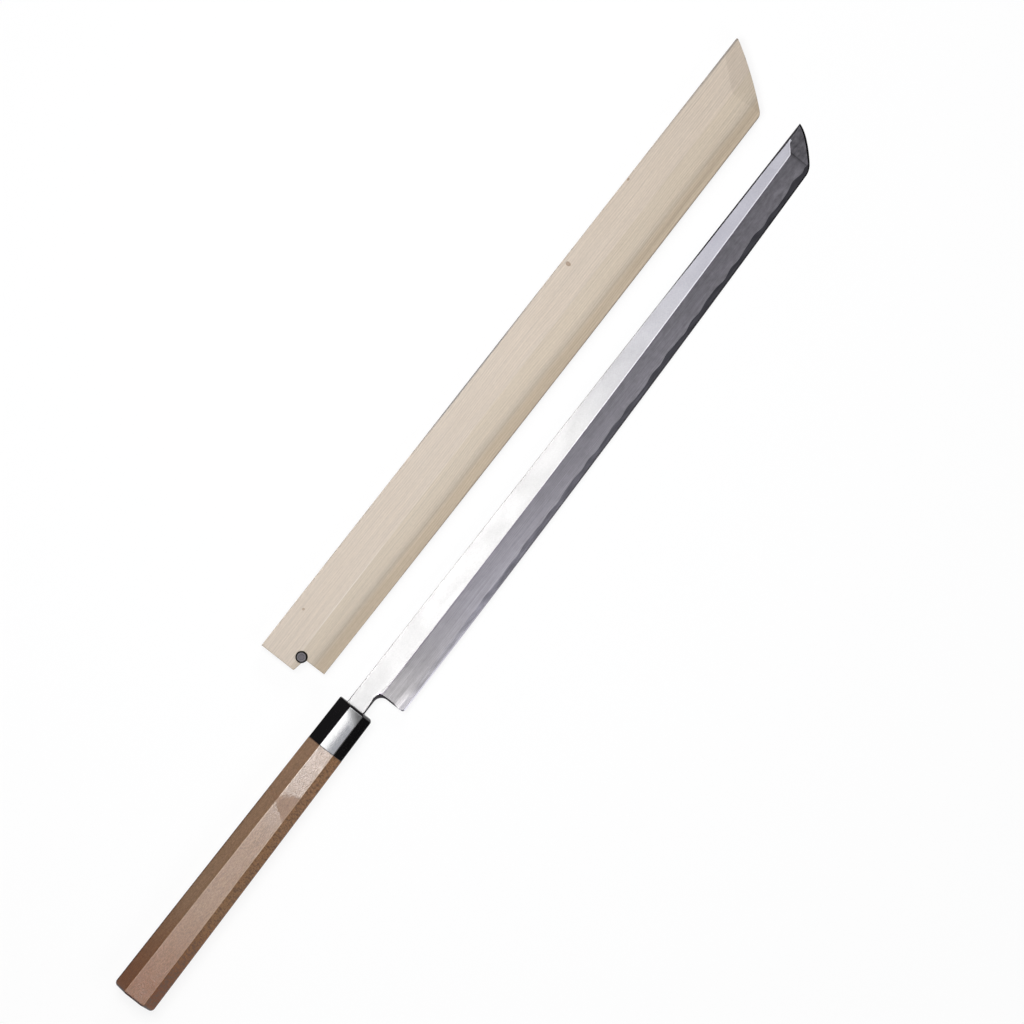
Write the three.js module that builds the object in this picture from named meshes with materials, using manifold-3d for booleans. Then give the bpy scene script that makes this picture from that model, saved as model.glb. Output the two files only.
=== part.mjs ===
// Tuna slicing knife and its wooden sheath, laid side by side on a table with the pin in the sheath.
// Millimetres, +Z up, +X from the butt to the tip, +Y from the cutting edge to the spine.
// The origin is the middle of the pair's footprint, on the table.

import * as THREE from "three";
import { mergeVertices } from "three/addons/utils/BufferGeometryUtils.js";
import Module from "manifold-3d";

const wasm = await Module();
wasm.setup();

// Blade. Lengths run from the front of the ferrule, and depths run from the spine towards the edge.
const BLADE_LENGTH = 540; // heel to tip
const NECK_LENGTH = 19.2; // ferrule to heel
const NECK_DEPTH = 16;
const HEEL_DEPTH = 38.6;
const HEEL_FILLET = 7; // hollow corner between the neck and the heel
const HEEL_CORNER = 1.5; // rounding of the heel's own point
const EDGE_CURVE_POWER = 1.6; // over 1, so the edge rises slowly at the heel and faster near the shoulder
const SHOULDER_DEPTH = 28.2; // where the slanted tip starts
const SHOULDER_ROUNDING = 4; // how close edge and tip come in depth before they blend into each other
const TIP_LENGTH = 23.5; // shoulder to point
const TIP_CURVE_POWER = 0.69; // under 1, so the slanted tip bows out
const RIDGE_DEPTH_HEEL = 17.4; // the ridge between the flat side and the ground bevel
const RIDGE_DEPTH_SHOULDER = 9.2;
const RIDGE_CURVE_POWER = 1.85;
const RIDGE_RUNOUT = 10.5; // past the shoulder the ridge climbs to the spine over this length
const SPINE_THICKNESS = 5;
const SHOULDER_THICKNESS = 2.6;
const EDGE_THICKNESS = 0.3;
const HOLLOW_DEPTH = 0.35; // the shallow hollow ground into the back of a single-bevel blade
const HOLLOW_RIM = 3;
const HOLLOW_END = 12; // how far the hollow stays from the heel and from the shoulder
const HOLLOW_SIDE_SHARE = 0.3; // of the hollow's width, what each sloping side takes

// Hard steel layer, forge welded to the back of the soft iron. It shows as a wavy band above the edge.
const STEEL_SHOWN = 4.3;
const STEEL_WAVES = [
  { height: 0.42, length: 46, phase: 0.4 },
  { height: 0.3, length: 27, phase: 1.9 },
  { height: 0.2, length: 15.5, phase: 4.1 },
];
const STEEL_START = 8; // in front of the ferrule
const WELD_LINE = 0.05;

// Tang, inside the handle
const TANG_LENGTH = 112;
const TANG_DEPTH = 12;
const TANG_END_DEPTH = 7;
const TANG_END_THICKNESS = 3;

// Grip: the horn ferrule and the wooden handle are one tapering octagon
const FERRULE_LENGTH = 38.7;
const HANDLE_LENGTH = 239.4;
const GRIP_FRONT = { rise: 6.7, height: 30.8, thickness: 24, side: 10, spineChamfer: 10.7, edgeChamfer: 7.8 };
const GRIP_BUTT = { rise: 7.7, height: 36.3, thickness: 33.4, side: 13.8, spineChamfer: 9.9, edgeChamfer: 8 };
const FERRULE_EDGE_BREAK = 0.8;
const FERRULE_FRONT_WALL = 10;
const BUTT_ROUNDING = 3.5;
const BUTT_CROWN = 1; // how far the middle of the butt stands out past its rounding
const BUTT_CROWN_INSET = 12; // from the sides of the butt to its flat middle
const DOWEL_DIAMETER = 17.5;
const DOWEL_END_WALL = 14; // dowel left solid past the end of the tang
const NECK_SHOULDER_INSET = 2; // the neck steps down to the tang this far before the ferrule's front wall ends
const SEAL_WIDTH = 0.8; // gap between the neck and the ferrule's slot
const SEAL_DEPTH = 4;
const GLUE_LINE = 0.1;

// Sheath: two side boards with spacer strips glued between them
const SPINE_WALL = 5.7;
const EDGE_WALL = 5.2;
const NOSE_WALL = 28.3; // past the blade's tip
const BOARD_THICKNESS = 4.75;
const SLOT_CLEARANCE = 0.75; // round the blade, each side
const TIP_CLEARANCE = 6;
const MOUTH_GAP = 0.5; // from the ferrule to the mouth when the sheath is home
const HEEL_COVER = 7; // how far the lower mouth reaches behind the heel
const MOUTH_FILLET = 3;
const TONGUE_SLOPE = 1.3; // the tongue is this much shallower at its end
const SHEATH_TAPER = 1; // the sheath is this much narrower at the nose
const SHEATH_BELLY = 1.3; // and its edge side bows out this much halfway
const BOARD_RIDGE_MOUTH = 26.8; // from the spine side to the ridge along each board
const BOARD_RIDGE_NOSE = 23.3;
const BOARD_FACET_DROP = 1; // from the ridge to the start of the rounded edge
const BOARD_EDGE_ROUND = 9.5; // width of the rounded edge
const BOARD_EDGE_DROP = 3.6; // from the flat to the end of the rounded edge
const NOSE_SLANT = 35.8; // how far the nose leans back from the spine side to the edge side
const NOSE_BULGE = 2;
const NOSE_FACET = 19; // length of the sloping facet at the nose
const NOSE_DROP = 2;

// Pin that passes through the boards behind the heel and keeps the sheath on
const PIN_SHANK_DIAMETER = 4;
const PIN_TIP_DIAMETER = 3.5;
const PIN_HEAD_DIAMETER = 9.4;
const PIN_HEAD_HEIGHT = 2.4;
const PIN_HEAD_CHAMFER = 1.1; // width of the sloping rim
const PIN_HEAD_RIM = 1; // upright part of the rim
const PIN_SEAT_GAP = 0.1; // under the head
const PIN_HOLE_CLEARANCE = 0.15;
const PIN_HOLE_WALL = 0.7; // wood between the hole and the notch in the mouth
const PIN_END_GAP = 0.6; // the shank stops this far inside the lower board

// How the pair is laid out
const LAID_GAP = 26.8; // between the sheath's edge side and the blade's spine
const LAID_BACK = 7.1; // the sheath lies this far back from its place on the blade

// Fineness of the faceted surfaces
const BLADE_STEPS = 36;
const SHOULDER_STEPS = 4;
const TIP_STEPS = 12;
const WELD_STEPS = 96;
const BOARD_STEPS = 10;
const ROUND_STEPS = 6;
const CIRCLE_SIDES = 32;
const OVERCUT = 0.5; // how far a cutting shape reaches past what it cuts
const MERGE_DISTANCE = 1e-4; // vertices closer than this are one

// Sizes that follow from those above
const HEEL_X = NECK_LENGTH;
const TIP_X = NECK_LENGTH + BLADE_LENGTH;
const SHOULDER_X = TIP_X - TIP_LENGTH;
const RIDGE_END_X = SHOULDER_X + RIDGE_RUNOUT;
const GRIP_LENGTH = FERRULE_LENGTH + HANDLE_LENGTH;
const NECK_AXIS_Y = -NECK_DEPTH / 2;
const BLADE_MIDDLE_Z = SPINE_THICKNESS / 2;
const NECK_END_X = NECK_SHOULDER_INSET - FERRULE_FRONT_WALL;
const DOWEL_FRONT_X = -FERRULE_FRONT_WALL - GLUE_LINE;
const DOWEL_END_X = -TANG_LENGTH - DOWEL_END_WALL;
const SLOT_THICKNESS = SPINE_THICKNESS + 2 * SLOT_CLEARANCE;
const SHEATH_THICKNESS = SLOT_THICKNESS + 2 * BOARD_THICKNESS;
const BOARD_TOP_Z = SHEATH_THICKNESS / 2;
const BLADE_SPINE_Y = -SPINE_WALL - SLOT_CLEARANCE; // in the sheath, below its spine side
const SLOT_BOTTOM_Y = BLADE_SPINE_Y - HEEL_DEPTH - SLOT_CLEARANCE;
const SHEATH_WIDTH = EDGE_WALL - SLOT_BOTTOM_Y;
const SHEATH_LENGTH = TIP_X - MOUTH_GAP + NOSE_WALL;
const LOWER_MOUTH_X = HEEL_X - MOUTH_GAP - HEEL_COVER;
const PIN_X = HEEL_X - HEEL_FILLET - MOUTH_GAP; // the pin stands at the centre of the heel's fillet
const PIN_Y = BLADE_SPINE_Y - NECK_DEPTH - HEEL_FILLET;
const PIN_HOLE_RADIUS = PIN_SHANK_DIAMETER / 2 + PIN_HOLE_CLEARANCE;
const TONGUE_DEPTH = PIN_HOLE_RADIUS + PIN_HOLE_WALL - PIN_Y;

const lerp = THREE.MathUtils.lerp;
const clamp01 = (value) => THREE.MathUtils.clamp(value, 0, 1);

// Evenly spaced numbers from one value to another, both included
function spread(from, to, steps) {
  return Array.from({ length: steps + 1 }, (_, i) => lerp(from, to, i / steps));
}

// A closed geometry as a solid that can be joined and cut
function solidOf(geometry) {
  const bare = geometry.index ? geometry.toNonIndexed() : geometry.clone();
  bare.deleteAttribute("normal");
  bare.deleteAttribute("uv");
  const merged = mergeVertices(bare, MERGE_DISTANCE);
  return new wasm.Manifold(
    new wasm.Mesh({
      numProp: 3,
      vertProperties: merged.attributes.position.array,
      triVerts: new Uint32Array(merged.index.array),
    }),
  );
}

function geometryOf(solid) {
  const mesh = solid.getMesh();
  const geometry = new THREE.BufferGeometry();
  geometry.setAttribute("position", new THREE.BufferAttribute(mesh.vertProperties, 3));
  geometry.setIndex(new THREE.BufferAttribute(mesh.triVerts, 1));
  geometry.computeVertexNormals();
  return geometry;
}

// A skin over rings of points that follow each other along +X. Seen from the tip, each ring runs anticlockwise.
function loft(rings) {
  const count = rings[0].length;
  const triangles = [];
  rings.slice(1).forEach((ring, i) => {
    const before = rings[i];
    for (let k = 0; k < count; k++) {
      const next = (k + 1) % count;
      triangles.push(before[k], before[next], ring[next], before[k], ring[next], ring[k]);
    }
  });
  const outline = rings[0].map((p) => new THREE.Vector2(p.y, p.z));
  for (const [a, b, c] of THREE.ShapeUtils.triangulateShape(outline, [])) {
    const [first, last] = [rings[0], rings.at(-1)];
    triangles.push(first[a], first[c], first[b], last[a], last[b], last[c]);
  }
  return new THREE.BufferGeometry().setFromPoints(triangles);
}

// A flat outline in XY given a thickness from one height to another
function plate(shape, low, high) {
  const geometry = new THREE.ExtrudeGeometry(shape, {
    depth: high - low,
    bevelEnabled: false,
    curveSegments: ROUND_STEPS,
  });
  return geometry.translate(0, 0, low);
}

function polygon(points) {
  return new THREE.Shape(points.map(([x, y]) => new THREE.Vector2(x, y)));
}

// A block along X between two stations, centred on the neck's axis
function neckBlock(fromX, toX, depth, thickness) {
  const block = new THREE.BoxGeometry(toX - fromX, depth, thickness);
  return solidOf(block.translate((fromX + toX) / 2, NECK_AXIS_Y, BLADE_MIDDLE_Z));
}

// A round bar along X between two stations, on the neck's axis
function neckBar(fromX, toX, radius) {
  const bar = new THREE.CylinderGeometry(radius, radius, toX - fromX, CIRCLE_SIDES);
  bar.rotateZ(Math.PI / 2);
  return solidOf(bar.translate((fromX + toX) / 2, NECK_AXIS_Y, BLADE_MIDDLE_Z));
}

// Blade shape at a distance from the ferrule

// The lesser of two depths, with the corner between them blended over a difference of up to reach
function blendedMin(a, b, reach) {
  const overlap = Math.max(reach - Math.abs(a - b), 0) / reach;
  return Math.min(a, b) - (overlap ** 2 * reach) / 4;
}

const alongBlade = (x) => Math.max((x - HEEL_X) / (SHOULDER_X - HEEL_X), 0);

function edgeDepth(x) {
  const straight = lerp(HEEL_DEPTH, SHOULDER_DEPTH, alongBlade(x) ** EDGE_CURVE_POWER);
  const slanted = SHOULDER_DEPTH * Math.max((TIP_X - x) / TIP_LENGTH, 0) ** TIP_CURVE_POWER;
  return Math.max(blendedMin(straight, slanted, SHOULDER_ROUNDING), 0);
}

function ridgeDepth(x) {
  if (x > SHOULDER_X) return RIDGE_DEPTH_SHOULDER * (1 - clamp01((x - SHOULDER_X) / RIDGE_RUNOUT));
  return lerp(RIDGE_DEPTH_HEEL, RIDGE_DEPTH_SHOULDER, alongBlade(x) ** RIDGE_CURVE_POWER);
}

function frontHeight(x) {
  const pastRidge = clamp01((x - RIDGE_END_X) / (TIP_X - RIDGE_END_X));
  const tapered = lerp(SPINE_THICKNESS, SHOULDER_THICKNESS, Math.min(alongBlade(x), 1));
  return lerp(tapered, EDGE_THICKNESS, pastRidge);
}

// The tang thins evenly from both sides towards its end
function tangThinning(x) {
  const share = clamp01((NECK_END_X - x) / (NECK_END_X + TANG_LENGTH));
  return (share * (SPINE_THICKNESS - TANG_END_THICKNESS)) / 2;
}

function bevelSlope(x) {
  return (frontHeight(x) - EDGE_THICKNESS) / Math.max(edgeDepth(x) - ridgeDepth(x), OVERCUT);
}

// Cross-section that bounds the blade at x, reaching a little past the spine and the edge
function bladeRing(x) {
  const back = tangThinning(x);
  const front = frontHeight(x) - back;
  const foot = -edgeDepth(x) - OVERCUT;
  return [
    new THREE.Vector3(x, OVERCUT, back),
    new THREE.Vector3(x, OVERCUT, front),
    new THREE.Vector3(x, -ridgeDepth(x), front),
    new THREE.Vector3(x, foot, EDGE_THICKNESS + back - OVERCUT * bevelSlope(x)),
    new THREE.Vector3(x, foot, back),
  ];
}

// Places along the edge, close together round the shoulder and evenly spaced in depth along the slanted tip
const shoulderStart = SHOULDER_X - 2 * SHOULDER_ROUNDING;
const edgeStations = [
  ...spread(HEEL_X + HEEL_CORNER, shoulderStart, BLADE_STEPS),
  ...spread(shoulderStart, SHOULDER_X, SHOULDER_STEPS).slice(1),
  ...spread(1, 0, TIP_STEPS).slice(1).map((share) => TIP_X - TIP_LENGTH * share ** (1 / TIP_CURVE_POWER)),
];

function bladeOutline() {
  const shape = new THREE.Shape();
  shape.moveTo(NECK_END_X, 0);
  for (const x of edgeStations.toReversed()) shape.lineTo(x, -edgeDepth(x));
  shape.quadraticCurveTo(HEEL_X, -HEEL_DEPTH, HEEL_X, HEEL_CORNER - HEEL_DEPTH);
  shape.absarc(HEEL_X - HEEL_FILLET, -NECK_DEPTH - HEEL_FILLET, HEEL_FILLET, 0, Math.PI / 2, false);
  shape.lineTo(NECK_END_X, -NECK_DEPTH);
  shape.lineTo(NECK_END_X, NECK_AXIS_Y - TANG_DEPTH / 2);
  shape.lineTo(-TANG_LENGTH, NECK_AXIS_Y - TANG_END_DEPTH / 2);
  shape.lineTo(-TANG_LENGTH, NECK_AXIS_Y + TANG_END_DEPTH / 2);
  shape.lineTo(NECK_END_X, NECK_AXIS_Y + TANG_DEPTH / 2);
  return shape;
}

// The shallow hollow in the back, as the shape to take away
function backHollow() {
  const stations = spread(HEEL_X + HOLLOW_END, SHOULDER_X - HOLLOW_END, BLADE_STEPS);
  const rings = stations.map((x, i) => {
    const depth = i === 0 || i === BLADE_STEPS ? 0 : HOLLOW_DEPTH;
    const [top, bottom] = [-HOLLOW_RIM, HOLLOW_RIM - edgeDepth(x)];
    return [
      new THREE.Vector3(x, top, -OVERCUT),
      new THREE.Vector3(x, top, 0),
      new THREE.Vector3(x, lerp(top, bottom, HOLLOW_SIDE_SHARE), depth),
      new THREE.Vector3(x, lerp(bottom, top, HOLLOW_SIDE_SHARE), depth),
      new THREE.Vector3(x, bottom, 0),
      new THREE.Vector3(x, bottom, -OVERCUT),
    ];
  });
  return solidOf(loft(rings));
}

// Height of the weld between the two layers above the blade's back
function weldHeight(x) {
  const wave = STEEL_WAVES.reduce(
    (sum, { height, length, phase }) => sum + height * Math.sin((2 * Math.PI * x) / length + phase),
    0,
  );
  return EDGE_THICKNESS + bevelSlope(x) * (STEEL_SHOWN + wave);
}

// Everything below the weld, grown on all sides by half of the weld line's width or shrunk by it
function belowWeld(growth) {
  const rings = spread(STEEL_START - growth, TIP_X + OVERCUT, WELD_STEPS).map((x) => [
    new THREE.Vector3(x, OVERCUT, -OVERCUT),
    new THREE.Vector3(x, OVERCUT, weldHeight(x) + growth),
    new THREE.Vector3(x, -HEEL_DEPTH - OVERCUT, weldHeight(x) + growth),
    new THREE.Vector3(x, -HEEL_DEPTH - OVERCUT, -OVERCUT),
  ]);
  return solidOf(loft(rings));
}

function bladeSolid() {
  const stations = [-TANG_LENGTH - OVERCUT, NECK_END_X, 0, HEEL_X, ...edgeStations, TIP_X + OVERCUT];
  const outline = solidOf(plate(bladeOutline(), -OVERCUT, SPINE_THICKNESS + OVERCUT));
  return outline.intersect(solidOf(loft(stations.map(bladeRing)))).subtract(backHollow());
}

// Octagonal section of the grip at x, drawn in towards its middle by inset
function gripRing(x, inset = 0) {
  const share = -x / GRIP_LENGTH;
  const size = (key) => lerp(GRIP_FRONT[key], GRIP_BUTT[key], share);
  const half = size("height") / 2;
  const [flat, side] = [size("thickness") / 2, size("side") / 2];
  const spineFlatEnd = half - size("spineChamfer");
  const edgeFlatEnd = size("edgeChamfer") - half;
  const corners = [
    [half, -side],
    [half, side],
    [spineFlatEnd, flat],
    [edgeFlatEnd, flat],
    [-half, side],
    [-half, -side],
    [edgeFlatEnd, -flat],
    [spineFlatEnd, -flat],
  ];
  const middle = size("rise") - half;
  const shrink = 1 - inset / half;
  return corners.map(([y, z]) => new THREE.Vector3(x, middle + shrink * y, BLADE_MIDDLE_Z + shrink * z));
}

function ferruleSolid() {
  const body = loft([
    gripRing(-FERRULE_LENGTH),
    gripRing(-FERRULE_EDGE_BREAK),
    gripRing(0, FERRULE_EDGE_BREAK),
  ]);
  const slot = neckBlock(
    -FERRULE_FRONT_WALL - OVERCUT,
    OVERCUT,
    NECK_DEPTH + 2 * SEAL_WIDTH,
    SPINE_THICKNESS + 2 * SEAL_WIDTH,
  );
  const socket = neckBar(-FERRULE_LENGTH - OVERCUT, -FERRULE_FRONT_WALL, DOWEL_DIAMETER / 2 + GLUE_LINE);
  return solidOf(body).subtract(slot).subtract(socket);
}

function handleSolid() {
  const crown = gripRing(-GRIP_LENGTH, BUTT_CROWN_INSET);
  const rounding = spread(0, Math.PI / 2, ROUND_STEPS).map((angle) => {
    const fromButt = BUTT_CROWN + BUTT_ROUNDING * (1 - Math.cos(angle));
    return gripRing(fromButt - GRIP_LENGTH, BUTT_ROUNDING * (1 - Math.sin(angle)));
  });
  const body = loft([crown, ...rounding, gripRing(-FERRULE_LENGTH - GLUE_LINE)]);
  const socket = neckBar(DOWEL_END_X - GLUE_LINE, -FERRULE_LENGTH + OVERCUT, DOWEL_DIAMETER / 2 + GLUE_LINE);
  return solidOf(body).subtract(socket);
}

function dowelSolid() {
  const bar = neckBar(DOWEL_END_X, DOWEL_FRONT_X, DOWEL_DIAMETER / 2);
  const slot = neckBlock(
    -TANG_LENGTH - GLUE_LINE,
    DOWEL_FRONT_X + OVERCUT,
    TANG_DEPTH + 2 * GLUE_LINE,
    SPINE_THICKNESS + 2 * GLUE_LINE,
  );
  return bar.subtract(slot);
}

function sealSolid() {
  const filled = SEAL_WIDTH - GLUE_LINE;
  const plug = neckBlock(-SEAL_DEPTH, -GLUE_LINE, NECK_DEPTH + 2 * filled, SPINE_THICKNESS + 2 * filled);
  const hole = neckBlock(
    -SEAL_DEPTH - OVERCUT,
    OVERCUT,
    NECK_DEPTH + 2 * GLUE_LINE,
    SPINE_THICKNESS + 2 * GLUE_LINE,
  );
  return plug.subtract(hole);
}

// Sheath shapes, from the mouth along +X and from the spine side towards the edge along -Y

function sheathWidth(x) {
  const share = x / SHEATH_LENGTH;
  return SHEATH_WIDTH - SHEATH_TAPER * share + 4 * SHEATH_BELLY * share * (1 - share);
}

// Where the bowed nose is at a share of the width below the spine side
function noseX(share) {
  return SHEATH_LENGTH - NOSE_SLANT * share + 4 * NOSE_BULGE * share * (1 - share);
}

// Where the slot ends at a depth below the blade's spine
function slotEndX(depth) {
  return TIP_X - MOUTH_GAP + TIP_CLEARANCE - (depth * TIP_LENGTH) / SHOULDER_DEPTH;
}

const NOSE_WIDTH = sheathWidth(SHEATH_LENGTH - NOSE_SLANT);
const SLOT_END_SPINE_X = slotEndX(-SLOT_CLEARANCE);
const SLOT_END_EDGE_X = slotEndX(BLADE_SPINE_Y - SLOT_BOTTOM_Y);

// The stepped mouth and the nose, as an outline that reaches past both long sides
function boardTrim() {
  const shape = new THREE.Shape();
  shape.moveTo(0, OVERCUT);
  shape.lineTo(0, TONGUE_SLOPE - TONGUE_DEPTH);
  shape.absarc(
    LOWER_MOUTH_X - MOUTH_FILLET,
    -TONGUE_DEPTH - MOUTH_FILLET,
    MOUTH_FILLET,
    Math.PI / 2,
    0,
    true,
  );
  const pastEdge = -SHEATH_WIDTH - SHEATH_BELLY - OVERCUT;
  shape.lineTo(LOWER_MOUTH_X, pastEdge);
  shape.lineTo(noseX(-pastEdge / NOSE_WIDTH), pastEdge);
  for (const share of spread(1, 0, ROUND_STEPS)) shape.lineTo(noseX(share), -share * NOSE_WIDTH);
  shape.lineTo(noseX(-OVERCUT / NOSE_WIDTH), OVERCUT);
  return shape;
}

// Section of the upper board at x: a flat, a ridge, a gently sloping facet and a rounded edge
function boardRing(x) {
  const width = sheathWidth(x);
  const ridge = lerp(BOARD_RIDGE_MOUTH, BOARD_RIDGE_NOSE, x / SHEATH_LENGTH);
  const inner = SLOT_THICKNESS / 2;
  const edgeZ = BOARD_TOP_Z - BOARD_EDGE_DROP;
  const rounded = spread(0, Math.PI / 2, ROUND_STEPS).map((angle) => [
    BOARD_EDGE_ROUND * (1 - Math.sin(angle)) - width,
    edgeZ + (BOARD_EDGE_DROP - BOARD_FACET_DROP) * Math.cos(angle),
  ]);
  const corners = [[0, inner], [0, BOARD_TOP_Z], [-ridge, BOARD_TOP_Z], ...rounded, [-width, inner]];
  return corners.map(([y, z]) => new THREE.Vector3(x, y, z));
}

// A block whose underside is the plane of the nose facet
function noseFacetCutter() {
  const along = new THREE.Vector3(NOSE_SLANT, NOSE_WIDTH, 0).normalize();
  const outward = new THREE.Vector3(along.y, -along.x, 0);
  const fall = Math.atan2(NOSE_DROP, NOSE_FACET * outward.x);
  const down = outward.clone().multiplyScalar(Math.cos(fall)).setZ(-Math.sin(fall));
  const up = outward.clone().multiplyScalar(Math.sin(fall)).setZ(Math.cos(fall));
  const reach = 2 * SHEATH_WIDTH;
  const block = new THREE.BoxGeometry(reach, 2 * reach, reach).translate(reach / 2, 0, reach / 2);
  const place = new THREE.Matrix4().makeBasis(down, along, up);
  place.setPosition(SHEATH_LENGTH - NOSE_FACET, 0, BOARD_TOP_Z);
  return solidOf(block.applyMatrix4(place));
}

function pinHole() {
  const bar = new THREE.CylinderGeometry(
    PIN_HOLE_RADIUS,
    PIN_HOLE_RADIUS,
    2 * SHEATH_THICKNESS,
    CIRCLE_SIDES,
  );
  return solidOf(bar.rotateX(Math.PI / 2).translate(PIN_X, PIN_Y, 0));
}

function boardSolid() {
  const stations = spread(-OVERCUT, SHEATH_LENGTH + OVERCUT, BOARD_STEPS);
  const body = solidOf(loft(stations.map(boardRing)));
  const trim = solidOf(plate(boardTrim(), 0, SHEATH_THICKNESS));
  return body.intersect(trim).subtract(noseFacetCutter()).subtract(pinHole());
}

// Spacers between the boards
function spacer(points) {
  const half = SLOT_THICKNESS / 2 - GLUE_LINE;
  return plate(polygon(points), -half, half);
}

function spineStrip() {
  const end = SLOT_END_SPINE_X - GLUE_LINE;
  return spacer([
    [0, 0],
    [0, -SPINE_WALL],
    [end, -SPINE_WALL],
    [end, 0],
  ]);
}

function edgeStrip() {
  const stations = spread(LOWER_MOUTH_X, SLOT_END_EDGE_X - GLUE_LINE, BOARD_STEPS);
  const outer = stations.map((x) => [x, -sheathWidth(x)]);
  return spacer([[LOWER_MOUTH_X, SLOT_BOTTOM_Y], ...outer, [stations.at(-1), SLOT_BOTTOM_Y]]);
}

function noseBlock() {
  const nose = spread(1, 0, ROUND_STEPS).map((share) => [noseX(share), -share * NOSE_WIDTH]);
  return spacer([
    [SLOT_END_SPINE_X, 0],
    [SLOT_END_SPINE_X, -SPINE_WALL],
    [SLOT_END_EDGE_X, SLOT_BOTTOM_Y],
    [SLOT_END_EDGE_X, -sheathWidth(SLOT_END_EDGE_X)],
    ...nose,
  ]);
}

function pinGeometry() {
  const under = BOARD_TOP_Z + PIN_SEAT_GAP;
  const top = under + PIN_HEAD_HEIGHT;
  const head = PIN_HEAD_DIAMETER / 2;
  const profile = [
    [0, PIN_END_GAP - BOARD_TOP_Z],
    [PIN_TIP_DIAMETER / 2, PIN_END_GAP - BOARD_TOP_Z],
    [PIN_SHANK_DIAMETER / 2, under],
    [head, under],
    [head, under + PIN_HEAD_RIM],
    [head - PIN_HEAD_CHAMFER, top],
    [0, top],
  ].map(([radius, height]) => new THREE.Vector2(radius, height));
  const geometry = new THREE.LatheGeometry(profile, CIRCLE_SIDES);
  return geometry.rotateX(Math.PI / 2).translate(PIN_X, PIN_Y, 0);
}

const finish = (color, roughness, metalness) =>
  new THREE.MeshStandardMaterial({ color, roughness, metalness });
const softIron = finish(0xb9b8bf, 0.35, 1);
const hardSteel = finish(0x6c6a72, 0.3, 1);
const blackHorn = finish(0x0c0b0d, 0.25, 0);
const walnut = finish(0x86684c, 0.5, 0);
const magnolia = finish(0xd6c8b4, 0.7, 0);
const resin = finish(0x2a2119, 0.6, 0);

function piece(name, shape, material) {
  const geometry = shape.isBufferGeometry ? shape : geometryOf(shape);
  const mesh = new THREE.Mesh(geometry, material);
  mesh.name = name;
  return mesh;
}

const blade = bladeSolid();
const knife = new THREE.Group();
knife.add(
  piece("blade_iron", blade.subtract(belowWeld(WELD_LINE / 2)), softIron),
  piece("edge_steel", blade.intersect(belowWeld(-WELD_LINE / 2)), hardSteel),
  piece("ferrule", ferruleSolid(), blackHorn),
  piece("tang_seal", sealSolid(), resin),
  piece("handle", handleSolid(), walnut),
  piece("handle_dowel", dowelSolid(), magnolia),
);

// The knife leans down until its tip and the underside of its grip both touch the table.
const frontDrop = GRIP_FRONT.thickness / 2 - BLADE_MIDDLE_Z;
const buttDrop = GRIP_BUTT.thickness / 2 - BLADE_MIDDLE_Z;
const lean = Math.atan(Math.max(frontDrop / TIP_X, buttDrop / (TIP_X + GRIP_LENGTH)));
knife.rotation.y = lean;
knife.position.z = TIP_X * Math.sin(lean);

const board = geometryOf(boardSolid());
const backBoard = piece("sheath_back_board", board, magnolia);
backBoard.scale.z = -1;
const sheath = new THREE.Group();
sheath.add(
  piece("sheath_front_board", board, magnolia),
  backBoard,
  piece("sheath_spine_strip", spineStrip(), magnolia),
  piece("sheath_edge_strip", edgeStrip(), magnolia),
  piece("sheath_nose_block", noseBlock(), magnolia),
  piece("sheath_pin", pinGeometry(), blackHorn),
);
sheath.position.set(MOUTH_GAP - LAID_BACK, LAID_GAP + SHEATH_WIDTH, SHEATH_THICKNESS / 2);

const pair = new THREE.Group();
pair.add(knife, sheath);
const footprint = new THREE.Box3().setFromObject(pair, true).getCenter(new THREE.Vector3());
pair.position.set(-footprint.x, -footprint.y, 0);

const layout = new THREE.Group();
layout.add(pair);

export default layout;
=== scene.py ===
import math

import bmesh
import bpy
from bl_math import clamp, lerp, smoothstep
from mathutils import Matrix, Vector


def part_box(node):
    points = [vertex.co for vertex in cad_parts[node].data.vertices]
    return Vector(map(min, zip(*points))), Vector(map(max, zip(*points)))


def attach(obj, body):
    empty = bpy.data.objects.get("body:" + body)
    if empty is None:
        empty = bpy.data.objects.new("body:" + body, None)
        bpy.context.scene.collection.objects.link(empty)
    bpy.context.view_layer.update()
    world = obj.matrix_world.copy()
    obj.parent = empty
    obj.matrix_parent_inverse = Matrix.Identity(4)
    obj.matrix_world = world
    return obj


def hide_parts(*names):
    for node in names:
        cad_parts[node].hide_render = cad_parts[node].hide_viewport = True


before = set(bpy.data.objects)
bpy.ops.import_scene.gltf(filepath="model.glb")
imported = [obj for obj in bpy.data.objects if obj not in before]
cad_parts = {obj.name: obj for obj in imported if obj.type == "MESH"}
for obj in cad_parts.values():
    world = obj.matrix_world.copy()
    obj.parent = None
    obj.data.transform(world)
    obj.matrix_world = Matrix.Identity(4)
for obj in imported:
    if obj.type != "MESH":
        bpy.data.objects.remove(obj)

bl_info = {
    "name": "Tuna knife and sheath",
    "version": (1, 0, 0),
    "blender": (4, 5, 0),
    "location": "View3D > Sidebar > Knife",
    "description": "Makes a long single-bevel knife, its wooden sheath and a small studio",
    "category": "Object",
}

MM = 0.001
MERGE_DISTANCE = 0.001 * MM
SHARP_ANGLE = math.radians(24)
QUARTER = math.pi / 2


# Settings that a user would change

def distance(name, description, millimetres):
    return bpy.props.FloatProperty(
        name=name, description=description, default=millimetres * MM, min=0, unit="LENGTH", precision=5
    )


def share(name, description, default):
    return bpy.props.FloatProperty(
        name=name, description=description, default=default, min=0, soft_max=1, subtype="FACTOR"
    )


def colour(name, description, *on_screen):
    linear = []
    for level in on_screen:
        value = level / 255
        linear.append(value / 12.92 if value <= 0.04045 else ((value + 0.055) / 1.055) ** 2.4)
    return bpy.props.FloatVectorProperty(
        name=name, description=description, default=linear, min=0, max=1, size=3, subtype="COLOR"
    )


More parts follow.
